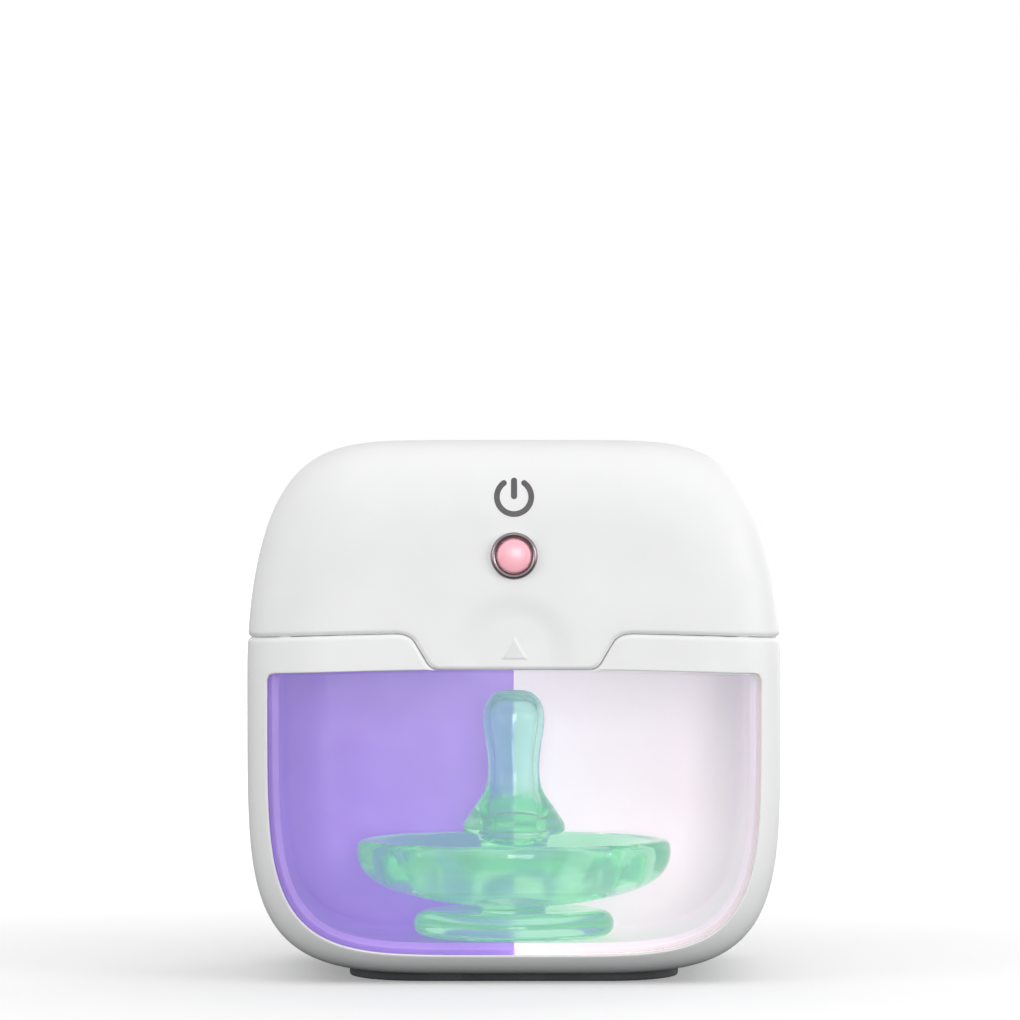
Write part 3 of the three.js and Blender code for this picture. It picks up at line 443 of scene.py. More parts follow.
# %% [markdown]
# ## The skin of the case
#
# The case is a cushion of plastic. Its front outline is a superellipse, a curve between an
# ellipse and a rectangle, and the edge between the front and the sides is a quarter of another
# one. A shape that follows such a rule suits Geometry Nodes: a flat grid goes in, sums turn each
# of its points into a point of the skin, and the same tree with another inset gives the liner
# inside. A square grid has no pole in the middle, so the front stays smooth.
#
# The sizes are in millimetres. What the CAD model already knows is read from its boxes.

# %% Sizes of the case
base_low, base_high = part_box("base_shell")
CASE_DEPTH = 56
HALF_WIDTH = base_high.x / MM
CASE_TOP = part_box("lid_shell")[1].z / MM
CASE_BOTTOM = base_low.z / MM
HALF_DEPTH = CASE_DEPTH / 2
MIDDLE_Y = case_front / MM + HALF_DEPTH  # the button and the hinge put the case off the middle
WAIST = 46.4  # height where the outline is widest
RISE = CASE_TOP - WAIST
DROP = WAIST - CASE_BOTTOM
EDGE_INSET = 12  # the rounded edge reaches this far over the front
EDGE_DEPTH = 9  # and this far back
TOP_WIDTH_POWER = 6.3
TOP_HEIGHT_POWER = 2.05
BASE_POWER = 5
EDGE_POWER = 2.3
WALL = 2
GAP = 0.3
SEAM = 52.4
SEAM_GAP = 0.06
CELLS = 96
SAME_PLACE = 0.001  # points closer than this are one
FLAT_SHARE = 0.6875  # 33 of the grid's 48 rings lie on the flat front
print("case in mm:", round(2 * HALF_WIDTH, 1), CASE_DEPTH, round(CASE_TOP - CASE_BOTTOM, 1))

# %% Sums of the skin
SKIN_INPUTS = {
    "Half width": HALF_WIDTH, "Rise": RISE, "Drop": DROP, "Waist": WAIST,
    "Half depth": HALF_DEPTH, "Edge inset": EDGE_INSET, "Edge depth": EDGE_DEPTH,
    "Top width power": TOP_WIDTH_POWER, "Top height power": TOP_HEIGHT_POWER,
    "Base power": BASE_POWER, "Edge power": EDGE_POWER, "Flat share": FLAT_SHARE, "Inset": 0,
}

# Each row is one sum: its name, what it does, and what it works on. The grid gives a and b,
# both from -1 to 1, and the last rows are the point of the skin.
SKIN_SUMS = [
    ("wide", "ABSOLUTE", "a"),
    ("tall", "ABSOLUTE", "b"),
    ("level", "MAXIMUM", "wide", "tall"),
    ("least", "MINIMUM", "wide", "tall"),
    ("share", "DIVIDE", "least", "level"),
    ("is_side", "GREATER_THAN", "wide", "tall"),
    ("is_top", "GREATER_THAN", "b", 0),
    ("width_gain", "SUBTRACT", "Top width power", "Base power"),
    ("width_power", "MULTIPLY_ADD", "is_top", "width_gain", "Base power"),
    ("height_gain", "SUBTRACT", "Top height power", "Base power"),
    ("height_power", "MULTIPLY_ADD", "is_top", "height_gain", "Base power"),
    ("power_gap", "SUBTRACT", "height_power", "width_power"),
    ("own_power", "MULTIPLY_ADD", "is_side", "power_gap", "width_power"),
    ("both_powers", "ADD", "height_power", "width_power"),
    ("other_power", "SUBTRACT", "both_powers", "own_power"),
    ("own_root", "DIVIDE", 1, "own_power"),
    ("corner", "POWER", 0.5, "own_root"),
    ("near", "MULTIPLY", "share", "corner"),
    ("near_raised", "POWER", "near", "own_power"),
    ("left_over", "SUBTRACT", 1, "near_raised"),
    ("other_root", "DIVIDE", 1, "other_power"),
    ("far", "POWER", "left_over", "other_root"),
    ("spread", "SUBTRACT", "far", "near"),
    ("x_share", "MULTIPLY_ADD", "is_side", "spread", "near"),
    ("near_and_far", "ADD", "near", "far"),
    ("z_share", "SUBTRACT", "near_and_far", "x_share"),
    ("x_sign", "SIGN", "a"),
    ("z_sign", "SIGN", "b"),
    ("past_flat", "SUBTRACT", "level", "Flat share"),
    ("round_share", "SUBTRACT", 1, "Flat share"),
    ("along", "DIVIDE", "past_flat", "round_share"),
    ("along_edge", "MAXIMUM", "along", 0),
    ("turn", "MULTIPLY", "along_edge", math.pi / 2),
    ("sine", "SINE", "turn"),
    ("cosine", "COSINE", "turn"),
    ("cosine_up", "MAXIMUM", "cosine", 0),
    ("edge_root", "DIVIDE", 2, "Edge power"),
    ("sine_raised", "POWER", "sine", "edge_root"),
    ("cosine_raised", "POWER", "cosine_up", "edge_root"),
    ("inset_room", "SUBTRACT", "Edge inset", "Inset"),
    ("moved_out", "MULTIPLY", "inset_room", "sine_raised"),
    ("drawn_in", "SUBTRACT", "Edge inset", "moved_out"),
    ("depth_room", "SUBTRACT", "Edge depth", "Inset"),
    ("moved_forward", "MULTIPLY", "depth_room", "cosine_raised"),
    ("back", "SUBTRACT", "Edge depth", "moved_forward"),
    ("flat_scale", "DIVIDE", "level", "Flat share"),
    ("in_flat", "MINIMUM", "flat_scale", 1),
    ("x_reach", "SUBTRACT", "Half width", "drawn_in"),
    ("x_right", "MULTIPLY", "x_reach", "x_share"),
    ("x_edge", "MULTIPLY", "x_right", "x_sign"),
    ("x", "MULTIPLY", "x_edge", "in_flat"),
    ("rise_gain", "SUBTRACT", "Rise", "Drop"),
    ("z_room", "MULTIPLY_ADD", "is_top", "rise_gain", "Drop"),
    ("z_reach", "SUBTRACT", "z_room", "drawn_in"),
    ("z_up", "MULTIPLY", "z_reach", "z_share"),
    ("z_edge", "MULTIPLY", "z_up", "z_sign"),
    ("z_middle", "MULTIPLY", "z_edge", "in_flat"),
    ("z", "ADD", "z_middle", "Waist"),
    ("y", "SUBTRACT", "back", "Half depth"),
]

print("sums of the skin:", len(SKIN_SUMS))

# %% Tree for the skin
def new_tree(name, inputs):
    """A Geometry Nodes tree from mesh to mesh, with the kind and value of each named input."""
    tree = bpy.data.node_groups.new(name, "GeometryNodeTree")
    for label, (kind, value) in {"Geometry": ("Geometry", None), **inputs}.items():
        socket = tree.interface.new_socket(label, in_out="INPUT", socket_type="NodeSocket" + kind)
        if value is not None:
            socket.default_value = value
    tree.interface.new_socket("Geometry", in_out="OUTPUT", socket_type="NodeSocketGeometry")
    return tree, add_node(tree, "NodeGroupInput").outputs


def skin_tree():
    inputs = {name: ("Float", value) for name, value in SKIN_INPUTS.items()}
    tree, given = new_tree("case_skin", {
        **inputs, "Cells": ("Int", CELLS), "Material": ("Material", None)})
    points = add_node(tree, "ShaderNodeMath", {"operation": "ADD", 1: 1}, {0: given["Cells"]})
    grid = add_node(tree, "GeometryNodeMeshGrid", {"Size X": 2, "Size Y": 2}, {
        "Vertices X": points, "Vertices Y": points})
    place = add_node(tree, "GeometryNodeInputPosition")
    parts = add_node(tree, "ShaderNodeSeparateXYZ", links={0: place}).outputs
    known = {"a": parts["X"], "b": parts["Y"], **{name: given[name] for name in SKIN_INPUTS}}
    for name, operation, *sources in SKIN_SUMS:
        numbers = {at: source for at, source in enumerate(sources) if source not in known}
        wires = {at: known[source] for at, source in enumerate(sources) if source in known}
        known[name] = add_node(tree, "ShaderNodeMath", {"operation": operation, **numbers}, wires)
    point = add_node(tree, "ShaderNodeCombineXYZ", links={
        "X": known["x"], "Y": known["y"], "Z": known["z"]})
    front = add_node(tree, "GeometryNodeSetPosition", links={"Geometry": grid, "Position": point})
    rear = add_node(tree, "GeometryNodeTransform", {"Scale": (1, -1, 1)}, {"Geometry": front})
    rear = add_node(tree, "GeometryNodeFlipFaces", links={0: rear})
    edge = add_node(tree, "GeometryNodeInputMeshEdgeNeighbors")
    border = add_node(tree, "FunctionNodeCompare", {
        "data_type": "INT", "operation": "EQUAL", 3: 1}, {2: edge})
    side = add_node(tree, "ShaderNodeMath", {"operation": "SUBTRACT"}, {
        0: given["Half depth"], 1: given["Edge depth"]})
    side = add_node(tree, "ShaderNodeMath", {"operation": "MULTIPLY", 1: 2}, {0: side})
    back = add_node(tree, "ShaderNodeCombineXYZ", links={"Y": side})
    belt = add_node(tree, "GeometryNodeExtrudeMesh", {"mode": "EDGES"}, {
        "Mesh": front, "Selection": border, "Offset": back})
    whole = add_node(tree, "GeometryNodeJoinGeometry", links={0: belt})
    tree.links.new(rear.outputs[0], whole.inputs[0])
    merged = add_node(tree, "GeometryNodeMergeByDistance", {"Distance": SAME_PLACE}, {0: whole})
    real = add_node(tree, "GeometryNodeRealizeInstances", links={0: merged})
    painted = add_node(tree, "GeometryNodeSetMaterial", links={
        "Geometry": real, "Material": given["Material"]})
    add_node(tree, "NodeGroupOutput", links={0: painted})
    return tree


case_skin = skin_tree()
print("nodes in the tree:", len(case_skin.nodes))

# %% Meshes from a tree
def evaluated(carrier):
    """The mesh of an object with its modifiers applied."""
    return bpy.data.meshes.new_from_object(
        carrier.evaluated_get(bpy.context.evaluated_depsgraph_get()))


def grown(carrier, tree, sizes):
    """The mesh that a Geometry Nodes tree makes on a carrier, from its named sizes."""
    modifier = carrier.modifiers.new(tree.name, "NODES")
    modifier.node_group = tree
    for item in tree.interface.items_tree:
        if item.item_type == "SOCKET" and item.name in sizes:
            modifier[item.identifier] = sizes[item.name]
    mesh = evaluated(carrier)
    carrier.modifiers.remove(modifier)
    return mesh


def skin(inset):
    """The skin of the case, in millimetres about its own middle, as a bmesh."""
    carrier = new_object("skin", bpy.data.meshes.new("skin"))
    mesh = grown(carrier, case_skin, {"Inset": float(inset), "Material": FINISHES["case_white"]})
    shape = bmesh.new()
    shape.from_mesh(mesh)
    bpy.data.objects.remove(carrier)
    bpy.data.meshes.remove(mesh)
    bmesh.ops.recalc_face_normals(shape, faces=shape.faces)
    return shape


trial = skin(0)
print("faces:", len(trial.faces), "volume in cm3:", round(trial.calc_volume() / 1000, 1),
      "open edges:", sum(edge.is_boundary for edge in trial.edges))
trial.free()

# %% [markdown]
# ## Cutting a skin along a drawn line
#
# The lid, the base and the window are all cut from that one skin. A Boolean would cut it too, but
# it leaves a knife-sharp edge, and a moulded edge is round: the thin bright or dark line that the
# eye reads as a seam is light on that rounding. So each cut is a *reach*, a function that says how
# far a point lies from the drawn line. The skin is split where the reach has given values, close
# together near the line, and the points near the line are then moved in along a quarter circle.

# %% Distances and curves
def distance_to_line(across, height, line):
    """Distance from points to a line of straight stretches."""
    line = np.array(line)
    start, step = line[:-1], np.diff(line, axis=0)
    away = np.stack([across, height], axis=1)[:, None, :] - start[None]
    share = np.clip((away * step).sum(axis=2) / (step ** 2).sum(axis=1), 0, 1)
    return np.linalg.norm(away - share[..., None] * step, axis=2).min(axis=1)


def quadratic(start, corner, end, steps=12):
    """Points of a curve that leaves start and meets end along the two lines through corner."""
    shares = np.linspace(0, 1, steps + 1)[:, None]
    start, corner, end = (np.array(point, float) for point in (start, corner, end))
    curve = (1 - shares) ** 2 * start + 2 * shares * (1 - shares) * corner + shares ** 2 * end
    return [tuple(point) for point in curve]


print("distance from (0, 2) to a line:",
      distance_to_line(np.array([0]), np.array([2]), [(-1, 0), (1, 0)]))

# %% Line of the seam
SEAM_DROP = 0.7
FAR_SIDE = HALF_WIDTH + 1
TAB_TOP_HALF = 17.6
TAB_SHOULDER_HALF = 15.4
TAB_BOTTOM_HALF = 12.4
TAB_BOTTOM = 46.9
TAB_ROUND = 1.6
TAB_SHOULDER_DROP = 1.5

plain_seam = [(0, SEAM)] + quadratic((TAB_BOTTOM_HALF, SEAM), (TAB_TOP_HALF, SEAM),
                                     (FAR_SIDE, SEAM - SEAM_DROP), 40)
shoulder = (TAB_SHOULDER_HALF - TAB_ROUND / 2, SEAM - TAB_SHOULDER_DROP)
low_corner = (TAB_BOTTOM_HALF + TAB_ROUND / 2, TAB_BOTTOM + TAB_ROUND)
flat_end = (TAB_BOTTOM_HALF - TAB_ROUND, TAB_BOTTOM)
seam_start = np.interp(TAB_TOP_HALF, *np.array(plain_seam).T)
tab_seam = [(0, TAB_BOTTOM)]
tab_seam += quadratic(flat_end, (TAB_BOTTOM_HALF, TAB_BOTTOM), low_corner)
tab_seam += quadratic(shoulder, (TAB_SHOULDER_HALF, seam_start), (TAB_TOP_HALF, seam_start))
tab_seam += [point for point in plain_seam if point[0] > TAB_TOP_HALF + 0.5]

print("points of the seam without and with the tab:", len(plain_seam), len(tab_seam))

# %% Reach of the seam
FAR = 20  # for points that an edge doesn't concern


def at_front(points, values, elsewhere=FAR):
    """These values for points in the front half, and another for the rear half."""
    return np.where(points[:, 1] < 0, values, elsewhere)


def signed_distance(points, line):
    """Distance to a line that runs outwards from the middle, above it more than 0."""
    across, height = np.abs(points[:, 0]), points[:, 2]
    above = height > np.interp(across, *np.array(line).T)
    return np.where(above, 1, -1) * distance_to_line(across, height, line)


def over_seam(points):
    return at_front(points, signed_distance(points, tab_seam), signed_distance(points, plain_seam))


probe = np.array([(0, -1, 40), (0, -1, 50), (30, -1, 50), (39, -1, 30)], float)
print("reach of the seam:", over_seam(probe).round(2))

# %% Reach of the outline
def powers_at(above):
    """The powers of the outline for its width and its height."""
    return [np.where(above, top, BASE_POWER) for top in (TOP_WIDTH_POWER, TOP_HEIGHT_POWER)]


def outline_share(points, inset):
    """Below 1 inside the front outline drawn in by an inset, above 1 outside it."""
    above = points[:, 2] > WAIST
    reach = np.where(above, RISE, DROP) - inset
    width_power, height_power = powers_at(above)
    across = np.abs(points[:, 0]) / (HALF_WIDTH - inset)
    return across ** width_power + (np.abs(points[:, 2] - WAIST) / reach) ** height_power


def outline(inset, steps=180):
    """The right half of the front outline, from its top to its bottom."""
    turns = np.linspace(math.pi / 2, -math.pi / 2, steps + 1)
    up, across = np.sin(turns), np.cos(turns)
    width_power, height_power = powers_at(up > 0)
    x = (HALF_WIDTH - inset) * np.abs(across) ** (2 / width_power)
    reach = np.where(up > 0, RISE, DROP) - inset
    return np.stack([x, WAIST + np.sign(up) * reach * np.abs(up) ** (2 / height_power)], axis=1)


def past_outline(points, inset):
    """Distance outside the front outline drawn in by an inset."""
    side = np.where(outline_share(points, inset) > 1, 1, -1)
    return side * distance_to_line(np.abs(points[:, 0]), points[:, 2], outline(inset))


print("reach of the outline:", past_outline(probe, 0).round(2))

# %% Reach of the window
WINDOW_INSET = 3.2
WINDOW_TOP = TAB_BOTTOM + 0.05
WINDOW_CORNER = 1.2


def past_window(points, inset=0):
    """Distance outside the window's edge, drawn in by an inset."""
    side = past_outline(points, WINDOW_INSET + inset)
    top_line = np.array(plain_seam) - (0, SEAM - WINDOW_TOP + inset)
    top = points[:, 2] - np.interp(np.abs(points[:, 0]), *top_line.T)
    closeness = np.clip(WINDOW_CORNER - np.abs(side - top), 0, None)
    return at_front(points, np.maximum(side, top) + closeness ** 2 / (4 * WINDOW_CORNER))


print("reach of the window:", past_window(probe).round(2))

# %% Back onto the skin
SURFACE_CLOSE = 0.15  # nearer to the case's side than this, the skin is too steep to correct
HALVINGS = 40


def onto_skin(points, inset):
    """Moves points in the rounded edge back onto the skin after a cut has split its faces."""
    low = np.zeros(len(points))
    high = np.full(len(points), float(EDGE_INSET))
    for _ in range(HALVINGS):
        middle = (low + high) / 2
        inside = outline_share(points, middle) < 1
        low, high = np.where(inside, middle, low), np.where(inside, high, middle)
    sine = np.clip(1 - (low - inset) / (EDGE_INSET - inset), 0, 1)
    cosine = (1 - sine ** EDGE_POWER) ** (1 / EDGE_POWER)
    back = EDGE_DEPTH - (EDGE_DEPTH - inset) * cosine
    depth = np.sign(points[:, 1]) * (HALF_DEPTH - back)
    rounded = np.abs(points[:, 1]) > HALF_DEPTH - EDGE_DEPTH + SURFACE_CLOSE
    steep = low - inset < SURFACE_CLOSE
    return np.where(rounded & ~steep, depth, points[:, 1])


probe[:, 1] = -HALF_DEPTH + 1
print("depths on the skin:", onto_skin(probe, 0).round(2))

# %% One cut
STEPS_TO_LINE = 5
ON_LINE = 1e-4
SPLIT_ENDS = (0.001, 0.999)  # an edge is never split nearer to its ends


def points_of(shape):
    shape.verts.index_update()
    return np.array([vert.co for vert in shape.verts])


def faces_of(shape):
    shape.verts.index_update()
    return [[vert.index for vert in face.verts] for face in shape.faces]


def middles_of(shape):
    return np.array([face.calc_center_median() for face in shape.faces])


def cut_along(shape, reach, level):
    """Splits the faces of a bmesh along the line where reach has this level."""
    points = points_of(shape)
    values = reach(points) - level
    values[np.abs(values) < ON_LINE] = 0
    crossed = [edge for edge in shape.edges
               if values[edge.verts[0].index] * values[edge.verts[1].index] < 0]
    new_verts = [vert for vert in shape.verts if values[vert.index] == 0]
    if crossed:
        ends = np.array([[vert.index for vert in edge.verts] for edge in crossed])
        start, step = points[ends[:, 0]], points[ends[:, 1]] - points[ends[:, 0]]
        low, high = np.zeros(len(ends)), np.ones(len(ends))
        value_low, value_high = values[ends[:, 0]].copy(), values[ends[:, 1]].copy()
        for _ in range(STEPS_TO_LINE):
            share = low + (high - low) * value_low / (value_low - value_high)
            value = reach(start + step * share[:, None]) - level
            same = value * value_low > 0
            low, value_low = np.where(same, share, low), np.where(same, value, value_low)
            high, value_high = np.where(same, high, share), np.where(same, value_high, value)
        for edge, at in zip(crossed, np.clip(share, *SPLIT_ENDS)):
            new_verts.append(bmesh.utils.edge_split(edge, edge.verts[0], at)[1])
    if new_verts:
        bmesh.ops.connect_verts(shape, verts=new_verts)


trial = skin(0)
cut_along(trial, over_seam, 0)
print("faces after one cut:", len(trial.faces))
trial.free()

# %% Round cuts
ROUND_TURNS = [math.radians(turn) for turn in (67.5, 45, 22.5)]
FLAT_STRIP = 1.7  # radii from an edge to a last cut, which keeps the shading flat beyond it
EDGE_SHARES = [1 - math.sin(turn) for turn in ROUND_TURNS] + [1, FLAT_STRIP]


def drop_faces(shape, reach):
    """Deletes the faces of a bmesh whose middle has a reach below 0."""
    gone = [face for face, value in zip(shape.faces, reach(middles_of(shape))) if value < 0]
    bmesh.ops.delete(shape, geom=gone, context="FACES")


def refine(shape, chosen, times):
    """Quarters the faces whose middle is chosen."""
    for _ in range(times):
        edges = {edge for face, pick in zip(shape.faces, chosen(middles_of(shape))) if pick
                 for edge in face.edges}
        bmesh.ops.subdivide_edges(shape, edges=list(edges), cuts=1, use_grid_fill=True)


def cut_round(shape, reach, radius):
    """Keeps what has a reach over 0, and splits it where its edge will be rounded."""
    cut_along(shape, reach, 0)
    drop_faces(shape, reach)
    for share in EDGE_SHARES:
        cut_along(shape, reach, radius * share)


print("cuts along an edge, in radii:", np.round(EDGE_SHARES, 2))

# %% [markdown]
# A cut skin becomes a solid wall in three moves. Its points are copied inwards along their
# normals by the wall's thickness, the outer points near each edge are rolled in, and a strip
# closes the wall along every open edge. The result is one closed body, a real shell and not a
# sheet.

# %% Pieces from points and faces
SHARP = math.radians(38)


def placed(name, points, faces, slot, move=(0, MIDDLE_Y, 0)):
    """Makes an object from points in millimetres, with smooth faces and sharp creases."""
    mesh = bpy.data.meshes.new(name)
    points = (np.array(points) + np.array(move)) * MM
    mesh.from_pydata(points.tolist(), [], faces)
    mesh.validate()
    mesh.polygons.foreach_set("use_smooth", [True] * len(mesh.polygons))
    mesh.set_sharp_from_angle(angle=SHARP)
    mesh.materials.append(FINISHES[slot])
    return new_object(name, mesh)


def dressed(piece, body, slot, *nodes):
    """Hangs a piece on its body and hides the CAD nodes that it stands for. The slot is not used.
    """
    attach(piece, body)
    if nodes:
        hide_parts(*nodes)
    print(piece.name, "faces:", len(piece.data.polygons))


def made(name, points, faces, body, slot, *nodes):
    piece = placed(name, points, faces, slot)
    dressed(piece, body, slot, *nodes)
    return piece


def joined(*parts):
    """Several pairs of points and faces as one pair."""
    points, faces = [], []
    for part_points, part_faces in parts:
        faces += [[index + len(points) for index in face] for face in part_faces]
        points += list(part_points)
    return np.array(points), faces


print("a crease is sharp from:", round(math.degrees(SHARP)), "degrees")

# %% Walls
STRAIGHT = 3  # width along an opening in which a wall turns straight back


def closed(shape, outer, inner):
    """Points and faces of a sheet made solid, with strips between its two sides."""
    faces = faces_of(shape)
    points, both = joined((outer, faces), (inner, [face[::-1] for face in faces]))
    for loop in (loop for face in shape.faces for loop in face.loops):
        if loop.edge.is_boundary:
            here, there = loop.vert.index, loop.link_loop_next.vert.index
            both.append([there, here, here + len(outer), there + len(outer)])
    shape.free()
    return points, both


def rolled(points, reaches, radii):
    """How far each point moves in to round the edges. One radius may do for all of them."""
    move = np.zeros(len(points))
    for reach, radius in zip(reaches, np.broadcast_to(radii, len(reaches))):
        near = np.clip(1 - reach(points) / radius, 0, 1)
        move = np.maximum(move, radius * (1 - np.sqrt(1 - near ** 2)))
    return move


def walled(shape, wall, inset, reaches, radii, relief=None, opening=None):
    """Turns a cut skin into a closed wall. Relief moves the outer points before they are rolled.
    Along the edge of an opening, the wall goes straight back."""
    points = points_of(shape)
    points[:, 1] = onto_skin(points, inset)
    for vert, point in zip(shape.verts, points):
        vert.co = point
    shape.normal_update()
    normals = np.array([vert.normal for vert in shape.verts])
    outer = points - normals * rolled(points, reaches, radii)[:, None]
    if relief:
        outer[:, 1] += relief(points)
    if opening:
        near = np.clip(1 - np.abs(opening(points)) / STRAIGHT, 0, 1)[:, None]
        normals = normals * (1 - near) + np.sign(normals) * (0, 1, 0) * near
        normals /= np.linalg.norm(normals, axis=1)[:, None]
    return closed(shape, outer, points - normals * wall)


print("rolled in at 0, 0.3 and 0.7 mm from an edge:",
      rolled(np.array([0, 0.3, 0.7]), [lambda places: places], 0.7).round(2))

# %% [markdown]
# ## Lid and base
#
# The lid and the base are thin moulded shells of white ABS. In front, the lid drops a tab over the
# base, with a shallow scoop for the thumb and a small raised triangle. A bump in the material would
# draw these two, but it would not be there from the side or in an export, so they are a relief in
# the mesh, and the grid is finer where they are. The holes for the button and for the charging
# socket, and the notches for the hinge, are reaches like the seam.

# %% Sizes of the lid's details
EDGE_ROUND = 0.7
BUTTON = 63.9
RING_RADIUS = 3.5
RING_LAP = 0.3  # the ring covers the hole's edge by this much
SCOOP_MIDDLE = 49.4
SCOOP_RADIUS = 9.5
SCOOP_FLANK = 4.4
SCOOP_DEPTH = 0.32
MARK_BOTTOM = 48.5
MARK_TALL = 3.6
MARK_HALF = 2.1
MARK_FLANK = 0.3
MARK_PROUD = 0.15
SOCKET = 66
SOCKET_HALF_WIDTH = 4.8
SOCKET_HALF_TALL = 1.9
SOCKET_ROUND = 1.8
LID_BARREL = 6  # half the length of the hinge's middle barrel
BASE_BARREL = 15  # from the middle to the outer ends of the other two
BARREL_GAP = 0.3
NOTCH_HALF = 2.15  # half the height of the notches for the barrels
FINE_HALF_WIDTH, FINE_BOTTOM, FINE_TOP = 19, 44.5, 69  # where the front has a finer grid
SOCKET_FIELD = 6.5, 4  # half the width and height of the rear wall's finer grid
print("button and socket heights in mm:", BUTTON, SOCKET)

# %% Holes and notches
def round_hole(height, radius):
    """A reach: distance outside a round hole through the front at this height."""
    def reach(points):
        return at_front(points, np.hypot(points[:, 0], points[:, 2] - height) - radius)
    return reach


off_button = round_hole(BUTTON, RING_RADIUS - RING_LAP)
off_scoop = round_hole(SCOOP_MIDDLE, SCOOP_RADIUS)


def off_block(points, from_x, to_x):
    """Distance outside a notch in the rear wall at the hinge, on both sides of the middle."""
    across = np.abs(points[:, 0])
    past = np.stack([from_x - across, across - to_x, np.abs(points[:, 2] - SEAM) - NOTCH_HALF])
    away = np.where((past > 0).any(axis=0), np.linalg.norm(np.clip(past, 0, None), axis=0),
                    past.max(axis=0))
    return np.where(points[:, 1] > 0, away, FAR)


def off_socket(points):
    """Distance outside the hole for the charging socket in the rear wall."""
    past = np.stack([np.abs(points[:, 0]) - (SOCKET_HALF_WIDTH - SOCKET_ROUND),
                     np.abs(points[:, 2] - SOCKET) - (SOCKET_HALF_TALL - SOCKET_ROUND)])
    away = np.linalg.norm(np.clip(past, 0, None), axis=0) + np.clip(past.max(axis=0), None, 0)
    return np.where(points[:, 1] > 0, away - SOCKET_ROUND, FAR)


rear = np.array([(0, 1, SOCKET), (SOCKET_HALF_WIDTH, 1, SOCKET)])
print("middle and edge of the socket's hole:", off_socket(rear).round(2))

# %% Reaches of the shells
def in_lid(points):
    notches = off_block(points, LID_BARREL, BASE_BARREL + BARREL_GAP)
    return np.minimum(over_seam(points) - SEAM_GAP / 2, notches)


def in_base(points):
    notch = off_block(points, -FAR, LID_BARREL + BARREL_GAP)
    return np.minimum(-over_seam(points) - SEAM_GAP / 2, notch)


def in_scoop(points):
    return -off_scoop(points)


def in_mark(points):
    """Distance inside the raised triangle's edge."""
    slope = math.hypot(MARK_TALL, MARK_HALF)
    left = MARK_TALL - (points[:, 2] - MARK_BOTTOM) - np.abs(points[:, 0]) * MARK_TALL / MARK_HALF
    inside = np.minimum(left * MARK_HALF / slope, points[:, 2] - MARK_BOTTOM)
    return at_front(points, inside, -FAR)


def smooth_step(values):
    values = np.clip(values, 0, 1)
    return values * values * (3 - 2 * values)


def lid_relief(points):
    dish = SCOOP_DEPTH * smooth_step(in_scoop(points) / SCOOP_FLANK)
    return dish - MARK_PROUD * smooth_step(in_mark(points) / MARK_FLANK)


print("reaches of the lid and the base:", in_lid(probe).round(2), in_base(probe).round(2))
print("depth of the scoop:", lid_relief(np.array([(4.0, -1, 50)])).round(2))

# %% Finer grids
def within(points, half_width, low, high):
    return (np.abs(points[:, 0]) < half_width) & (points[:, 2] > low) & (points[:, 2] < high)


def by_the_tab(middles):
    return (middles[:, 1] < 0) & within(middles, FINE_HALF_WIDTH, FINE_BOTTOM, FINE_TOP)


def by_the_socket(middles):
    half_width, half_tall = SOCKET_FIELD
    return (middles[:, 1] > 0) & within(middles, half_width, SOCKET - half_tall,
                                        SOCKET + half_tall)


print("in the finer grid of the front:", by_the_tab(probe))

# %% Lid shell
SPARE = 2  # what stays beyond the seam until the exact cut
FINEST = 1.5  # the grid is finer still this near to the seam
SCOOP_LEVELS = (0.05, 0.5, 1.3, 2.4, 3.4, 4.3)
MARK_LEVELS = (0, 0.12, MARK_FLANK)

lid = skin(0)
drop_faces(lid, lambda points: over_seam(points) + SPARE)
refine(lid, by_the_tab, 1)
refine(lid, lambda middles: by_the_tab(middles) & (np.abs(over_seam(middles)) < FINEST), 1)
cut_round(lid, in_lid, EDGE_ROUND)
cut_along(lid, off_button, 0)
drop_faces(lid, off_button)
refine(lid, by_the_socket, 2)
cut_round(lid, off_socket, EDGE_ROUND)
for reach, levels in ((in_scoop, SCOOP_LEVELS), (in_mark, MARK_LEVELS)):
    for level in levels:
        cut_along(lid, reach, level)
points, faces = walled(lid, WALL, 0, [in_lid, off_socket], EDGE_ROUND, lid_relief)
lid_case = made("lid_case", points, faces, "lid", "case_white", "lid_shell")
lid_case.data.materials.append(FINISHES["mark_white"])
for face in lid_case.data.polygons:
    middle = np.array([face.center]) / MM - (0, MIDDLE_Y, 0)
    if middle[0, 1] < -HALF_DEPTH + 1 and in_mark(middle)[0] > MARK_FLANK:
        face.material_index = 1

# %% [markdown]
# The base is the same skin below the seam, with its front cut open. The pane is one more piece of
# that skin, a little smaller than the opening, so it lies flush in it however the case curves. The
# walls go straight back along the opening, and the gap round the pane stays as narrow inside as
# it is outside.

# %% Base shell and window
PANE_ROUND = 0.2  # the pane lies flush in its frame, so these edges are crisper


def in_pane(points):
    return at_front(points, -past_window(points, GAP), -FAR)


base = skin(0)
drop_faces(base, lambda points: SPARE - over_seam(points))
refine(base, lambda middles: by_the_tab(middles) & (np.abs(over_seam(middles)) < SPARE), 2)
cut_round(base, in_base, EDGE_ROUND)
cut_round(base, past_window, PANE_ROUND)
points, faces = walled(base, WALL, 0, [in_base, past_window], [EDGE_ROUND, PANE_ROUND],
                       opening=past_window)
made("base_case", points, faces, "base", "case_white", "base_shell")

pane = skin(0)
cut_round(pane, in_pane, PANE_ROUND)
points, faces = walled(pane, WALL, 0, [in_pane], PANE_ROUND, opening=in_pane)
made("window", points, faces, "base", "clear_pane", "front_window")

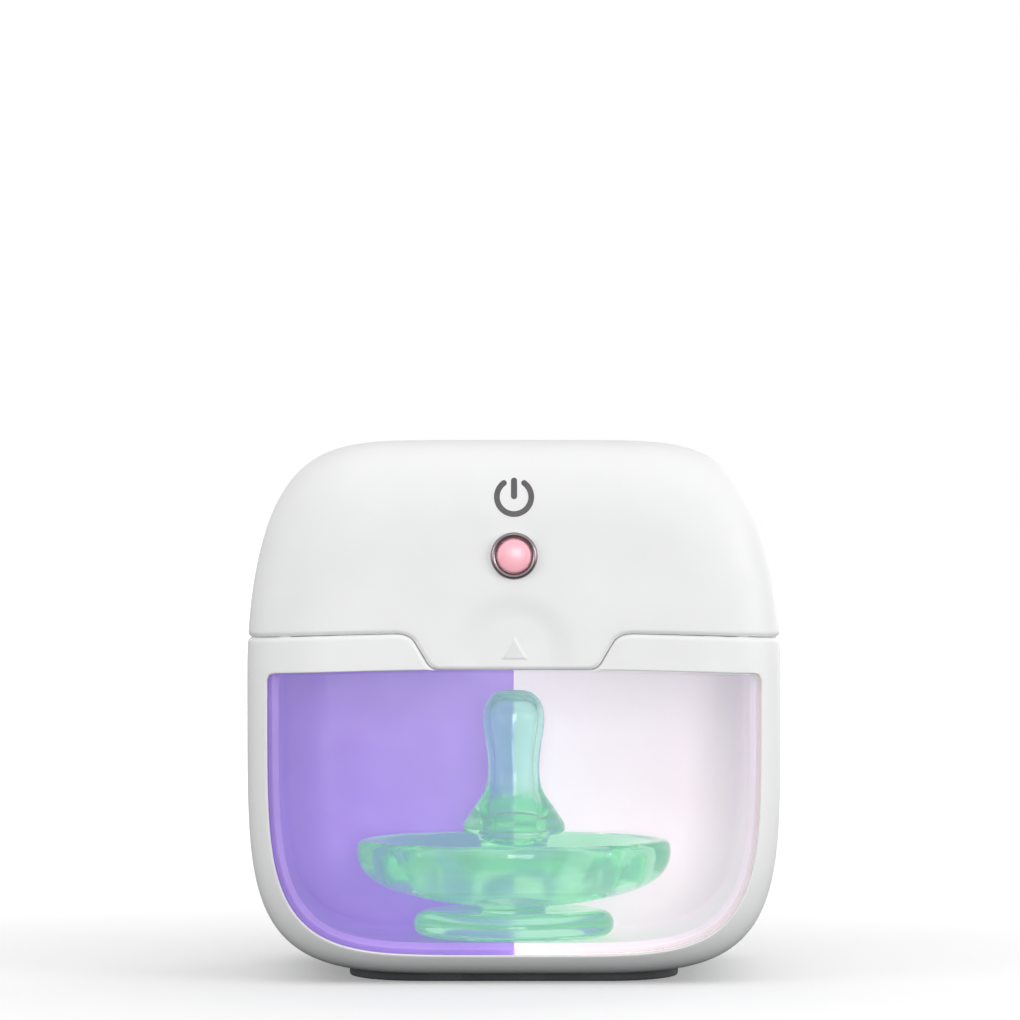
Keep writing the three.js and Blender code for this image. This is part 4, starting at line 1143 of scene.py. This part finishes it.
# %% [markdown]
# ## Chamber: liner, rim and gasket
#
# Behind the window lies a thin moulded tub, violet on the left and almost white on the right, as
# the photograph shows it. Its two halves are the same skin, drawn in by the wall and a small gap,
# so they follow the case everywhere. The white rim over them is the light trap that stands up
# into the lid, and the gasket is a soft ring in the lid that rests on it. All four are that skin
# kept between some reaches, so one function makes them.

# %% Liner halves, rim and gasket
LINER_INSET = WALL + GAP
LINER_WALL = 1.2
LINER_ROUND = 0.25
LINER_TOP = 46.7
LINER_SPLIT = 0.05
OPENING_INSET = WINDOW_INSET + 0.8  # the liner's flange shows this much inside the window
RIM_BOTTOM, RIM_TOP = 47.0, 53.6
GASKET_BOTTOM, GASKET_TOP = 53.9, 54.7
MAGNET = 50.0
MAGNET_POCKET = 2.2


def past_opening(points):
    return at_front(points, past_outline(points, OPENING_INSET))


def above(height):
    return lambda points: points[:, 2] - height


def below(height):
    return lambda points: height - points[:, 2]


def tub_part(name, body, slot, node, reaches):
    shape = skin(LINER_INSET)
    for reach in reaches:
        cut_round(shape, reach, LINER_ROUND)
    points, faces = walled(shape, LINER_WALL, LINER_INSET, reaches, LINER_ROUND)
    made(name, points, faces, body, slot, node)


tub_part("liner_left", "base", "liner_violet", "chamber_liner_left",
         [lambda points: -points[:, 0] - LINER_SPLIT, below(LINER_TOP), past_opening])
tub_part("liner_right", "base", "liner_pale", "chamber_liner_right",
         [lambda points: points[:, 0] - LINER_SPLIT, below(LINER_TOP), past_opening])
tub_part("rim", "base", "inner_white", "chamber_rim",
         [above(RIM_BOTTOM), below(RIM_TOP), round_hole(MAGNET, MAGNET_POCKET)])
tub_part("gasket", "lid", "gasket_silicone", "lid_gasket",
         [above(GASKET_BOTTOM), below(GASKET_TOP)])

# %% [markdown]
# ## Turned pieces: button, ring and magnet cup
#
# Whatever is round is a profile turned about an axis, like clay on a wheel. A profile is a list of
# radius and height. Where it stays off the axis it closes on itself and gives a ring. The mesh is
# written out point by point, which leaves no seam and exactly one point at each pole.

# %% Turning a profile
def arc(middle, radius, start, end, steps=6):
    """Points of an arc, its angles in degrees from the x axis."""
    turns = np.radians(np.linspace(start, end, steps + 1))
    return [(middle[0] + radius * math.cos(t), middle[1] + radius * math.sin(t)) for t in turns]


def turned(profile, sides=64):
    """Points and faces of a profile of radius and height turned about the upright axis."""
    points, rings = [], []
    for radius, height in profile:
        count = sides if radius > 0 else 1
        rings.append(range(len(points), len(points) + count))
        turns = 2 * math.pi * np.arange(count) / sides
        points += [(radius * math.cos(t), radius * math.sin(t), height) for t in turns]
    faces = []
    follower = rings[1:] + rings[:1] if profile[0][0] > 0 else rings[1:]
    for low, high in zip(rings, follower):
        for side in range(sides):
            after = (side + 1) % sides
            corners = [low[side % len(low)], low[after % len(low)],
                       high[after % len(high)], high[side % len(high)]]
            faces.append(list(dict.fromkeys(corners)))
    return np.array(points), faces


def to_front(points, height):
    """Turns points so that their upright axis runs forward, at this height."""
    return np.stack([points[:, 0], -points[:, 2], points[:, 1] + height], axis=1)


print("faces of a turned disc:", len(turned([(0, 0), (1, 0), (1, 1), (0, 1)])[1]))

# %% Button and its ring
# Profiles of radius and height. In the turned frame, forward is up, and 0 is the case's front.
RING_BORE = 2.65
BARREL_OUTSIDE = 3.05  # of the ring's tube through the wall
RING_PROFILE = [
    (RING_BORE, -WALL - 0.15), (BARREL_OUTSIDE, -WALL - 0.15), (BARREL_OUTSIDE, -0.1),
    (RING_RADIUS, -0.1), (RING_RADIUS, 0.1), (3.44, 0.4), (3.3, 0.6), (3.12, 0.7), (2.96, 0.66),
    (2.8, 0.52), (2.68, 0.3), (RING_BORE, 0),
]
CAP_RADIUS = 2.5
CAP_PROUD = 0.9
CAP_EDGE = 0.45
FLANGE_RADIUS = 3.2
FLANGE_FRONT = -WALL - 0.45
CAP_PROFILE = [
    (0, FLANGE_FRONT - 0.7), (FLANGE_RADIUS, FLANGE_FRONT - 0.7), (FLANGE_RADIUS, FLANGE_FRONT),
    (CAP_RADIUS, FLANGE_FRONT),
    *arc((CAP_RADIUS - CAP_EDGE, CAP_PROUD - 0.2 - CAP_EDGE), CAP_EDGE, 0, 70),
    (1.6, CAP_PROUD - 0.12), (1.1, CAP_PROUD - 0.06), (0.5, CAP_PROUD - 0.01), (0, CAP_PROUD),
]
CUP_PROFILE = [
    (0, -2.3), *arc((2.8, -2.0), 0.3, -90, 0), (3.1, -1.1), (2.25, -1.1), (2.25, -0.95),
    (0, -0.95),
]


def turned_forward(name, profile, depth, height, body, slot, node, sides=64):
    """A turned piece whose profile counts from this depth behind the case's front."""
    points, faces = turned([(radius, HALF_DEPTH - depth + up) for radius, up in profile], sides)
    made(name, to_front(points, height), faces, body, slot, node)


turned_forward("ring", RING_PROFILE, 0, BUTTON, "lid", "dark_metal", "button_ring", 96)
turned_forward("button_cap", CAP_PROFILE, 0, BUTTON, "button", "pink_cap", "power_button", 96)
turned_forward("magnet_cup", CUP_PROFILE, LINER_INSET, MAGNET, "base", "inner_white",
               "chamber_rim")

# %% [markdown]
# ## Power symbol
#
# The grey sign over the button is printed on the case: a ring open at the top with a stroke in
# the gap. It is a strip of small faces laid onto the skin, raised by the thickness of the ink.

# %% Printed sign
SIGN_MIDDLE = 72.65
SIGN_RADIUS = 2.55
SIGN_STROKE = 0.85
SIGN_GAP = 36  # degrees each side of the top
SIGN_BAR_TOP = 75.5
SIGN_BAR_TALL = 3.2
SIGN_BAR_WIDE = 0.9
INK = 0.02


def stroke(path, width, cap_steps=6):
    """A flat strip of faces along a path in x and z, with round ends."""
    path = np.array(path)
    along = np.gradient(path, axis=0)
    along /= np.linalg.norm(along, axis=1)[:, None]
    across = np.stack([-along[:, 1], along[:, 0]], axis=1)
    turns = np.radians(np.linspace(90, 0, cap_steps, endpoint=False))
    start = [(path[0] - along[0] * width / 2 * math.sin(t), math.cos(t)) for t in turns]
    end = [(path[-1] + along[-1] * width / 2 * math.sin(t), math.cos(t)) for t in turns[::-1]]
    rows = [(place, share, across[0]) for place, share in start[1:]]
    rows += [(place, 1, side) for place, side in zip(path, across)]
    rows += [(place, share, across[-1]) for place, share in end[:-1]]
    points = [place + side * width / 2 * share * half_share
              for place, share, side in rows for half_share in (-1, 0, 1)]
    faces = [[here, here + 1, here + 4, here + 3]
             for row in range(len(rows) - 1) for here in (3 * row, 3 * row + 1)]
    return points, faces


ring_turns = np.radians(np.linspace(90 + SIGN_GAP, 450 - SIGN_GAP, 49))
ring_path = [(SIGN_RADIUS * math.cos(turn), SIGN_MIDDLE + SIGN_RADIUS * math.sin(turn))
             for turn in ring_turns]
bar_path = [(0, SIGN_BAR_TOP - SIGN_BAR_WIDE / 2 - step)
            for step in np.linspace(0, SIGN_BAR_TALL - SIGN_BAR_WIDE, 6)]
flat, faces = joined(stroke(ring_path, SIGN_STROKE), stroke(bar_path, SIGN_BAR_WIDE))
points = np.insert(flat, 1, -HALF_DEPTH, axis=1)
points[:, 1] = onto_skin(points, 0)
print("sign: depth of the print", points[:, 1].min().round(2), points[:, 1].max().round(2))
shape = bmesh.new()
verts = [shape.verts.new(point) for point in points]
for face in faces:
    shape.faces.new([verts[index] for index in face])
shape.normal_update()
if sum(face.normal.y > 0 for face in shape.faces) > len(shape.faces) / 2:
    bmesh.ops.reverse_faces(shape, faces=shape.faces)
shape.normal_update()
sides = [np.array([vert.co + vert.normal * ink for vert in shape.verts]) for ink in (INK, -INK)]
points, faces = closed(shape, *sides)
dressed(placed("power_sign", points, faces, "sign_ink"), "lid", "plunger_grey")

# %% [markdown]
# ## Flat drawings made solid: foot, cover plate and hinge
#
# A plate with holes is a drawing, and a flat curve turns a drawing into a solid with its edges
# rounded, round the holes too. The foot, the ceiling of the chamber and the hinge barrels are made
# that way. The curve is made a mesh before it gets its place.

# %% Drawings
def circle(x, y, radius, steps=40):
    return arc((x, y), radius, 0, 360, steps)[:-1]


def rounded_rectangle(half_x, half_y, corner, steps=10):
    loop = []
    for right, up, start in ((1, -1, -90), (1, 1, 0), (-1, 1, 90), (-1, -1, 180)):
        middle = (right * (half_x - corner), up * (half_y - corner))
        loop += arc(middle, corner, start, start + 90, steps)
    return loop


def drawn(loops, depth, bevel, lift=0):
    """Points and faces of a drawing made solid with rounded edges, its middle plane lifted."""
    curve = bpy.data.curves.new("drawing", "CURVE")
    curve.dimensions = "2D"
    curve.fill_mode = "BOTH"
    curve.extrude = depth / 2 - bevel
    curve.bevel_depth = bevel
    curve.bevel_resolution = 2
    curve.offset = -bevel
    for loop in loops:
        spline = curve.splines.new("POLY")
        spline.points.add(len(loop) - 1)
        spline.points.foreach_set("co", [value for x, y in loop for value in (x, y, 0, 1)])
        spline.use_cyclic_u = True
    carrier = new_object("drawing", curve)
    shape = bmesh.new()
    shape.from_mesh(evaluated(carrier))
    bpy.data.objects.remove(carrier)
    bmesh.ops.remove_doubles(shape, verts=shape.verts, dist=SAME_PLACE)
    bmesh.ops.recalc_face_normals(shape, faces=shape.faces)
    print("drawing: open edges", sum(not edge.is_manifold for edge in shape.edges),
          "volume", round(shape.calc_volume(), 1))
    points, faces = points_of(shape), faces_of(shape)
    points[:, 2] += lift
    shape.free()
    return points, faces


print("points of a drawn circle:", len(circle(0, 0, 1)))

# %% Foot
FOOT_HALF_WIDTH = 25
FOOT_HALF_DEPTH = 19
FOOT_CORNER = 11
FOOT_BAND = 5
FOOT_TALL = 2
FOOT_EDGE = 0.4
EMBED = 0.1

foot_loops = [rounded_rectangle(FOOT_HALF_WIDTH - drawn_in, FOOT_HALF_DEPTH - drawn_in,
                                FOOT_CORNER - drawn_in) for drawn_in in (0, FOOT_BAND)]
points, faces = drawn(foot_loops, FOOT_TALL, FOOT_EDGE, FOOT_TALL / 2)
across = np.abs(points[:, 0]) / HALF_WIDTH
case_bottom = WAIST - DROP * (1 - across ** BASE_POWER) ** (1 / BASE_POWER)
points[:, 2] = np.where(points[:, 2] > FOOT_TALL / 2, case_bottom + EMBED, points[:, 2])
made("foot", points, faces, "base", "foot_rubber", "foot_ring")

# %% Ceiling of the chamber
COVER_BOTTOM = 55.0
COVER_TOP = 57.0
COVER_STEP = 55.75
LAMP_X, LAMP_Y = 7.5, 6.5
SCREW_X, SCREW_Y = 29, 16.5
LAMP_HOLE, DISC_HOLE = 2.5, 3.7
SHANK_HOLE, HEAD_HOLE = 1.1, 2.1


def outline_from_above(height, inset, steps=10):
    """The case's outline at a height, seen from above."""
    turns = np.linspace(0, math.pi / 2, steps + 1)
    drawn_in = EDGE_INSET - (EDGE_INSET - inset) * np.sin(turns) ** (2 / EDGE_POWER)
    back = EDGE_DEPTH - (EDGE_DEPTH - inset) * np.cos(turns) ** (2 / EDGE_POWER)
    left_over = 1 - ((height - WAIST) / (RISE - drawn_in)) ** TOP_HEIGHT_POWER
    x = (HALF_WIDTH - drawn_in) * left_over ** (1 / TOP_WIDTH_POWER)
    quarter = list(zip(x, HALF_DEPTH - back))
    loop = [(x, -y) for x, y in quarter] + quarter[::-1]
    return loop + [(-x, -y) for x, y in loop]


def cover_layer(low, high, lamp_radius, screw_radius, bevel):
    middle = (low + high) / 2
    loops = [outline_from_above(middle, LINER_INSET)]
    for right in (-1, 1):
        for back in (-1, 1):
            loops.append(circle(right * LAMP_X, back * LAMP_Y, lamp_radius))
            loops.append(circle(right * SCREW_X, back * SCREW_Y, screw_radius))
    return drawn(loops, high - low, bevel, middle)


points, faces = joined(
    cover_layer(COVER_BOTTOM, COVER_STEP + EMBED, LAMP_HOLE, HEAD_HOLE, 0.25),
    cover_layer(COVER_STEP, COVER_TOP, DISC_HOLE, SHANK_HOLE, 0.1))
made("lamp_cover", points, faces, "lid", "inner_white", "lid_inner_cover")

# %% Hinge
HINGE_Y = HALF_DEPTH + 0.5
BARREL = 1.9
BORE = 0.95
ROOT_END = 3.4  # from the hinge's axis to the end of the root on the wall


def barrel(name, body, up, from_x, to_x):
    """A barrel and its root: drawn from the side, y to the right, and turned to lie along x."""
    loop = arc((HINGE_Y, SEAM), BARREL, -40 * up, 180 * up, 28)
    loop += [(HALF_DEPTH + y, SEAM - up * ROOT_END) for y in (-1.6, 0.02)]
    loop += quadratic((HALF_DEPTH + 0.12, SEAM - up * (ROOT_END - 0.2)),
                      (HINGE_Y + 0.3, SEAM - up * 2.2), loop[0], 8)[:-1]
    points, faces = drawn([loop, circle(HINGE_Y, SEAM, BORE, 24)], to_x - from_x, 0.2,
                          (from_x + to_x) / 2)
    made(name, points[:, [2, 0, 1]], faces, body, "case_white", body + "_shell")


barrel("hinge_left", "base", 1, -BASE_BARREL, -LID_BARREL - BARREL_GAP)
barrel("hinge_right", "base", 1, LID_BARREL + BARREL_GAP, BASE_BARREL)
barrel("hinge_middle", "lid", -1, -LID_BARREL, LID_BARREL)

# %% [markdown]
# ## What repeats: lamps, glass discs and screws
#
# The lid has four lamps, four quartz discs and four screws, each set at the corners of a
# rectangle. One small Geometry Nodes tree does all of them: a grid gives the places, the carrier's
# own mesh is set on each, and the instances are made real, because an export drops instances.

# %% Tree for repeated pieces
on_places, given = new_tree("on_places", {
    "Spread X": ("Float", None), "Spread Y": ("Float", None),
    "Count X": ("Int", 2), "Count Y": ("Int", 2), "Material": ("Material", None)})
grid = add_node(on_places, "GeometryNodeMeshGrid", links={
    "Size X": given["Spread X"], "Size Y": given["Spread Y"],
    "Vertices X": given["Count X"], "Vertices Y": given["Count Y"]})
copies = add_node(on_places, "GeometryNodeInstanceOnPoints", links={
    "Points": grid, "Instance": given["Geometry"]})
copies = add_node(on_places, "GeometryNodeRealizeInstances", links={0: copies})
copies = add_node(on_places, "GeometryNodeSetMaterial", links={
    "Geometry": copies, "Material": given["Material"]})
add_node(on_places, "NodeGroupOutput", links={0: copies})
print("nodes in the tree:", len(on_places.nodes))


def repeated(name, points, faces, slot, spread_x, spread_y, count_y=2):
    """One mesh with a piece at each place of a grid, in millimetres, centred on the axis."""
    carrier = placed(name, points, faces, slot, (0, 0, 0))
    mesh = grown(carrier, on_places, {
        "Spread X": spread_x * MM, "Spread Y": spread_y * MM, "Count X": 2, "Count Y": count_y,
        "Material": FINISHES[slot]})
    mesh.transform(Matrix.Translation((0, MIDDLE_Y * MM, 0)))
    mesh.set_sharp_from_angle(angle=SHARP)
    carrier.data = mesh
    return carrier


def four(name):
    return [f"{name}_{number}" for number in range(1, 5)]


# %% Lamps and quartz discs
LAMP_TOP = 59.5
LAMP_TALL = 1.3
LAMP_HALF = 1.75
LENS_RADIUS = 1.18
DISC_RADIUS = 3.4
DISC_THICK = 1.0
DISC_EDGE = 0.15

housing = drawn([rounded_rectangle(LAMP_HALF, LAMP_HALF, 0.25), circle(0, 0, 1.15, 32)],
                LAMP_TALL, 0.12, LAMP_TOP - LAMP_TALL / 2)
lens = [(0, LAMP_TOP - 1.1), *arc((0, LAMP_TOP - 0.15), 1.0, -75, -10, 6),
        (LENS_RADIUS, LAMP_TOP - 0.3), (LENS_RADIUS, LAMP_TOP - 0.05), (0, LAMP_TOP - 0.05)]
points, faces = joined(housing, turned(lens, 40))
lamps = repeated("lamps", points, faces, "lamp_ceramic", 2 * LAMP_X, 2 * LAMP_Y)
dressed(lamps, "lid", "lamp_ceramic", *four("uv_led"))

disc_bottom, disc_flat = COVER_TOP - DISC_THICK, DISC_RADIUS - DISC_EDGE
disc = [(0, disc_bottom), (disc_flat, disc_bottom), (DISC_RADIUS, disc_bottom + DISC_EDGE),
        (DISC_RADIUS, COVER_TOP - DISC_EDGE), (disc_flat, COVER_TOP), (0, COVER_TOP)]
discs = repeated("quartz_discs", *turned(disc, 56), "quartz", 2 * LAMP_X, 2 * LAMP_Y)
dressed(discs, "lid", "quartz", *four("uv_glass"))

# %% Screws of the cover
HEAD_RADIUS = 1.8
HEAD_TALL = 0.9
HEAD_EDGE = 0.4
SHANK = 0.8
SCREW_LENGTH = 8
THREAD_STEP = 0.5
THREAD_DEEP = 0.18
HEX_FLOOR = 0.54
HEX_RADIUS = 0.9

screw = [(0, HEX_FLOOR), (HEX_RADIUS - 0.1, HEX_FLOOR), (HEX_RADIUS - 0.04, 0.08),
         (HEX_RADIUS + 0.1, 0), (HEAD_RADIUS - HEAD_EDGE, 0),
         *arc((HEAD_RADIUS - HEAD_EDGE, HEAD_EDGE), HEAD_EDGE, -60, 0, 4),
         (HEAD_RADIUS, HEAD_TALL), (SHANK, HEAD_TALL)]
for turn in np.arange(HEAD_TALL + 0.6, HEAD_TALL + SCREW_LENGTH - 0.8, THREAD_STEP):
    screw += [(SHANK - THREAD_DEEP, turn), (SHANK, turn + THREAD_STEP / 2)]
screw += [(SHANK - 0.2, HEAD_TALL + SCREW_LENGTH - 0.5), (0, HEAD_TALL + SCREW_LENGTH)]
points, faces = turned(screw, 48)
away = np.hypot(points[:, 0], points[:, 1])
turns = np.arctan2(points[:, 1], points[:, 0]) % (math.pi / 3) - math.pi / 6
in_hexagon = (points[:, 2] < HEX_FLOOR + 0.01) & (away < HEX_RADIUS)
points[:, :2] *= np.where(in_hexagon, math.cos(math.pi / 6) / np.cos(turns), 1)[:, None]
points[:, 2] += COVER_BOTTOM
screws = repeated("cover_screws", points, faces, "steel", 2 * SCREW_X, 2 * SCREW_Y)
dressed(screws, "lid", "steel", *four("cover_screw"))

# %% Posts inside the lid
POST_BORE = 0.9
POST_EDGE = 0.2
POST_CLEAR = 0.3  # from a post's end to the plate or board that its screw holds
POST_RADIUS = 2.6
POST_TOP = 76.4
BOARD_POST = 11
BOARD_POST_RADIUS = 2
BOARD_POST_HEIGHT = 71.5
BOARD_FRONT = 19.85  # of the main board, forward of the middle


def post(start, end, radius):
    """A post's profile, its end that takes the screw at the start."""
    return [(POST_BORE, end), (POST_BORE, start), (radius - POST_EDGE, start),
            (radius, start + POST_EDGE), (radius, end)]


points, faces = turned(post(COVER_TOP + POST_CLEAR, POST_TOP, POST_RADIUS), 40)
posts = repeated("cover_posts", points, faces, "case_white", 2 * SCREW_X, 2 * SCREW_Y)
dressed(posts, "lid", "case_white", "lid_shell")

points, faces = turned(post(BOARD_FRONT + POST_CLEAR, HALF_DEPTH - 1, BOARD_POST_RADIUS), 40)
board_posts = repeated("board_posts", to_front(points, BOARD_POST_HEIGHT), faces, "case_white",
                       2 * BOARD_POST, 0, 1)
dressed(board_posts, "lid", "case_white", "lid_shell")

# %% [markdown]
# ## Pacifier
#
# A one-piece pacifier is moulded in soft silicone: a solid knob to hold, a broad shield that keeps
# it out of the mouth, and a hollow teat. It stands on its knob. The whole body is one profile
# turned about an upright axis, but the knob and the shield are oval, so each point of the profile
# also says how deep it is for its width. The two air holes are cut with a flared tool, which
# rounds their mouths.

# %% Profiles of the pacifier
# radius, height, depth as a share of the width
PACIFIER_PROFILE = [
    (0, 5.0, 0.8), (8, 5.0, 0.8), (12.9, 5.05, 0.8), (14.6, 5.5, 0.8), (15.35, 6.5, 0.8),
    (15.3, 7.8, 0.8), (14.4, 8.9, 0.8), (12.4, 9.25, 0.82), (9.6, 8.9, 0.86),
    (6.6, 8.35, 0.93), (5.2, 8.6, 0.97), (4.9, 9.3, 0.98), (6.2, 9.95, 0.92), (10.0, 10.35, 0.82),
    (14.8, 11.15, 0.78), (18.8, 12.3, 0.78), (21.6, 13.7, 0.78), (23.4, 15.5, 0.78),
    (24.1, 17.4, 0.78), (24.1, 19.0, 0.78), (23.6, 19.8, 0.78), (22.6, 20.0, 0.78),
    (20.9, 19.6, 0.78), (17.6, 18.2, 0.78), (13.4, 16.5, 0.79), (9.6, 15.6, 0.84),
    (6.9, 15.6, 0.92), (5.5, 16.5, 0.98), (5.15, 18.2, 1), (5.3, 19.9, 1), (6.0, 20.75, 1),
    (7.2, 20.95, 1), (7.85, 21.5, 1), (7.75, 22.5, 1), (7.0, 23.7, 1), (6.0, 25.2, 1),
    (5.0, 26.6, 1), (4.3, 28.0, 1), (3.98, 29.8, 1), (4.0, 32.2, 1), (4.25, 34.6, 1),
    (4.6, 36.8, 1), (4.72, 38.6, 1), (4.5, 40.3, 1), (3.75, 41.8, 1), (2.5, 42.7, 1),
    (1.2, 42.97, 1), (0, 43.0, 1),
]
# radius and height of the room inside the teat
TEAT_HOLLOW = [(0, 19.2), (1.6, 19.35), (2.8, 20), (3.6, 21.3), (4.0, 23), (3.7, 25), (3.1, 27),
               (2.85, 29.5), (2.9, 32.5), (3.1, 34.6), (3.45, 36.8), (3.6, 38.6), (3.4, 40.1),
               (2.7, 41.3), (1.5, 41.85), (0, 41.95)]
print("points of the profiles:", len(PACIFIER_PROFILE), len(TEAT_HOLLOW))

# %% Body of the pacifier
PACIFIER_SIDES = 112


def smooth_path(points, steps=3):
    """A smooth curve through points. At each, it heads from the point before to the one after."""
    points = np.array(points, float)
    path = []
    padded = np.concatenate([points[:1], points, points[-1:]])
    for before, start, end, after in zip(padded, padded[1:], padded[2:], padded[3:]):
        for share in np.arange(steps) / steps:
            path.append(0.5 * (2 * start + (end - before) * share
                               + (2 * before - 5 * start + 4 * end - after) * share ** 2
                               + (3 * start - before - 3 * end + after) * share ** 3))
    path.append(points[-1])
    return np.array(path)


body_path = smooth_path(PACIFIER_PROFILE)
body_path[:, 0] = np.clip(body_path[:, 0], 0, None)
body_path[[0, -1], 0] = 0
body, faces = turned(body_path[:, :2].tolist(), PACIFIER_SIDES)
ring_sizes = [1] + [PACIFIER_SIDES] * (len(body_path) - 2) + [1]
body[:, 1] *= np.repeat(body_path[:, 2], ring_sizes)
hollow_path = smooth_path(TEAT_HOLLOW)
hollow_path[[0, -1], 0] = 0
hollow, hollow_faces = turned(hollow_path.tolist(), PACIFIER_SIDES // 2)
points, faces = joined((body, faces), (hollow, [face[::-1] for face in hollow_faces]))
pacifier = placed("soother", points, faces, "mint_silicone")
pacifier.data.materials.append(FINISHES["clear_silicone"])
for face in pacifier.data.polygons[-len(hollow_faces):]:
    face.material_index = 1
print("faces before the air holes are cut:", len(pacifier.data.polygons))

# %% Air holes
VENT_X = 15
VENT_RADIUS = 2.6
VENT_ROUND = 0.7

flare = VENT_RADIUS + VENT_ROUND
vent = [(0, 9.8), (VENT_RADIUS + 1.6, 9.8), (VENT_RADIUS + 0.8, 11.3),
        *arc((flare, 12.6), VENT_ROUND, 235, 180, 4), *arc((flare, 16.2), VENT_ROUND, 180, 125, 4),
        (VENT_RADIUS + 0.8, 17.6), (VENT_RADIUS + 1.6, 20.5), (0, 20.5)]
for x in (-VENT_X, VENT_X):
    tool = placed("vent_tool", *turned(vent, 48), "mint_silicone", (x, MIDDLE_Y, 0))
    cut = pacifier.modifiers.new("vent", "BOOLEAN")
    cut.object = tool
    cut.solver = "EXACT"
    mesh = evaluated(pacifier)
    pacifier.modifiers.remove(cut)
    pacifier.data = mesh
    bpy.data.objects.remove(tool)
dressed(pacifier, "pacifier", "mint_silicone", "pacifier")
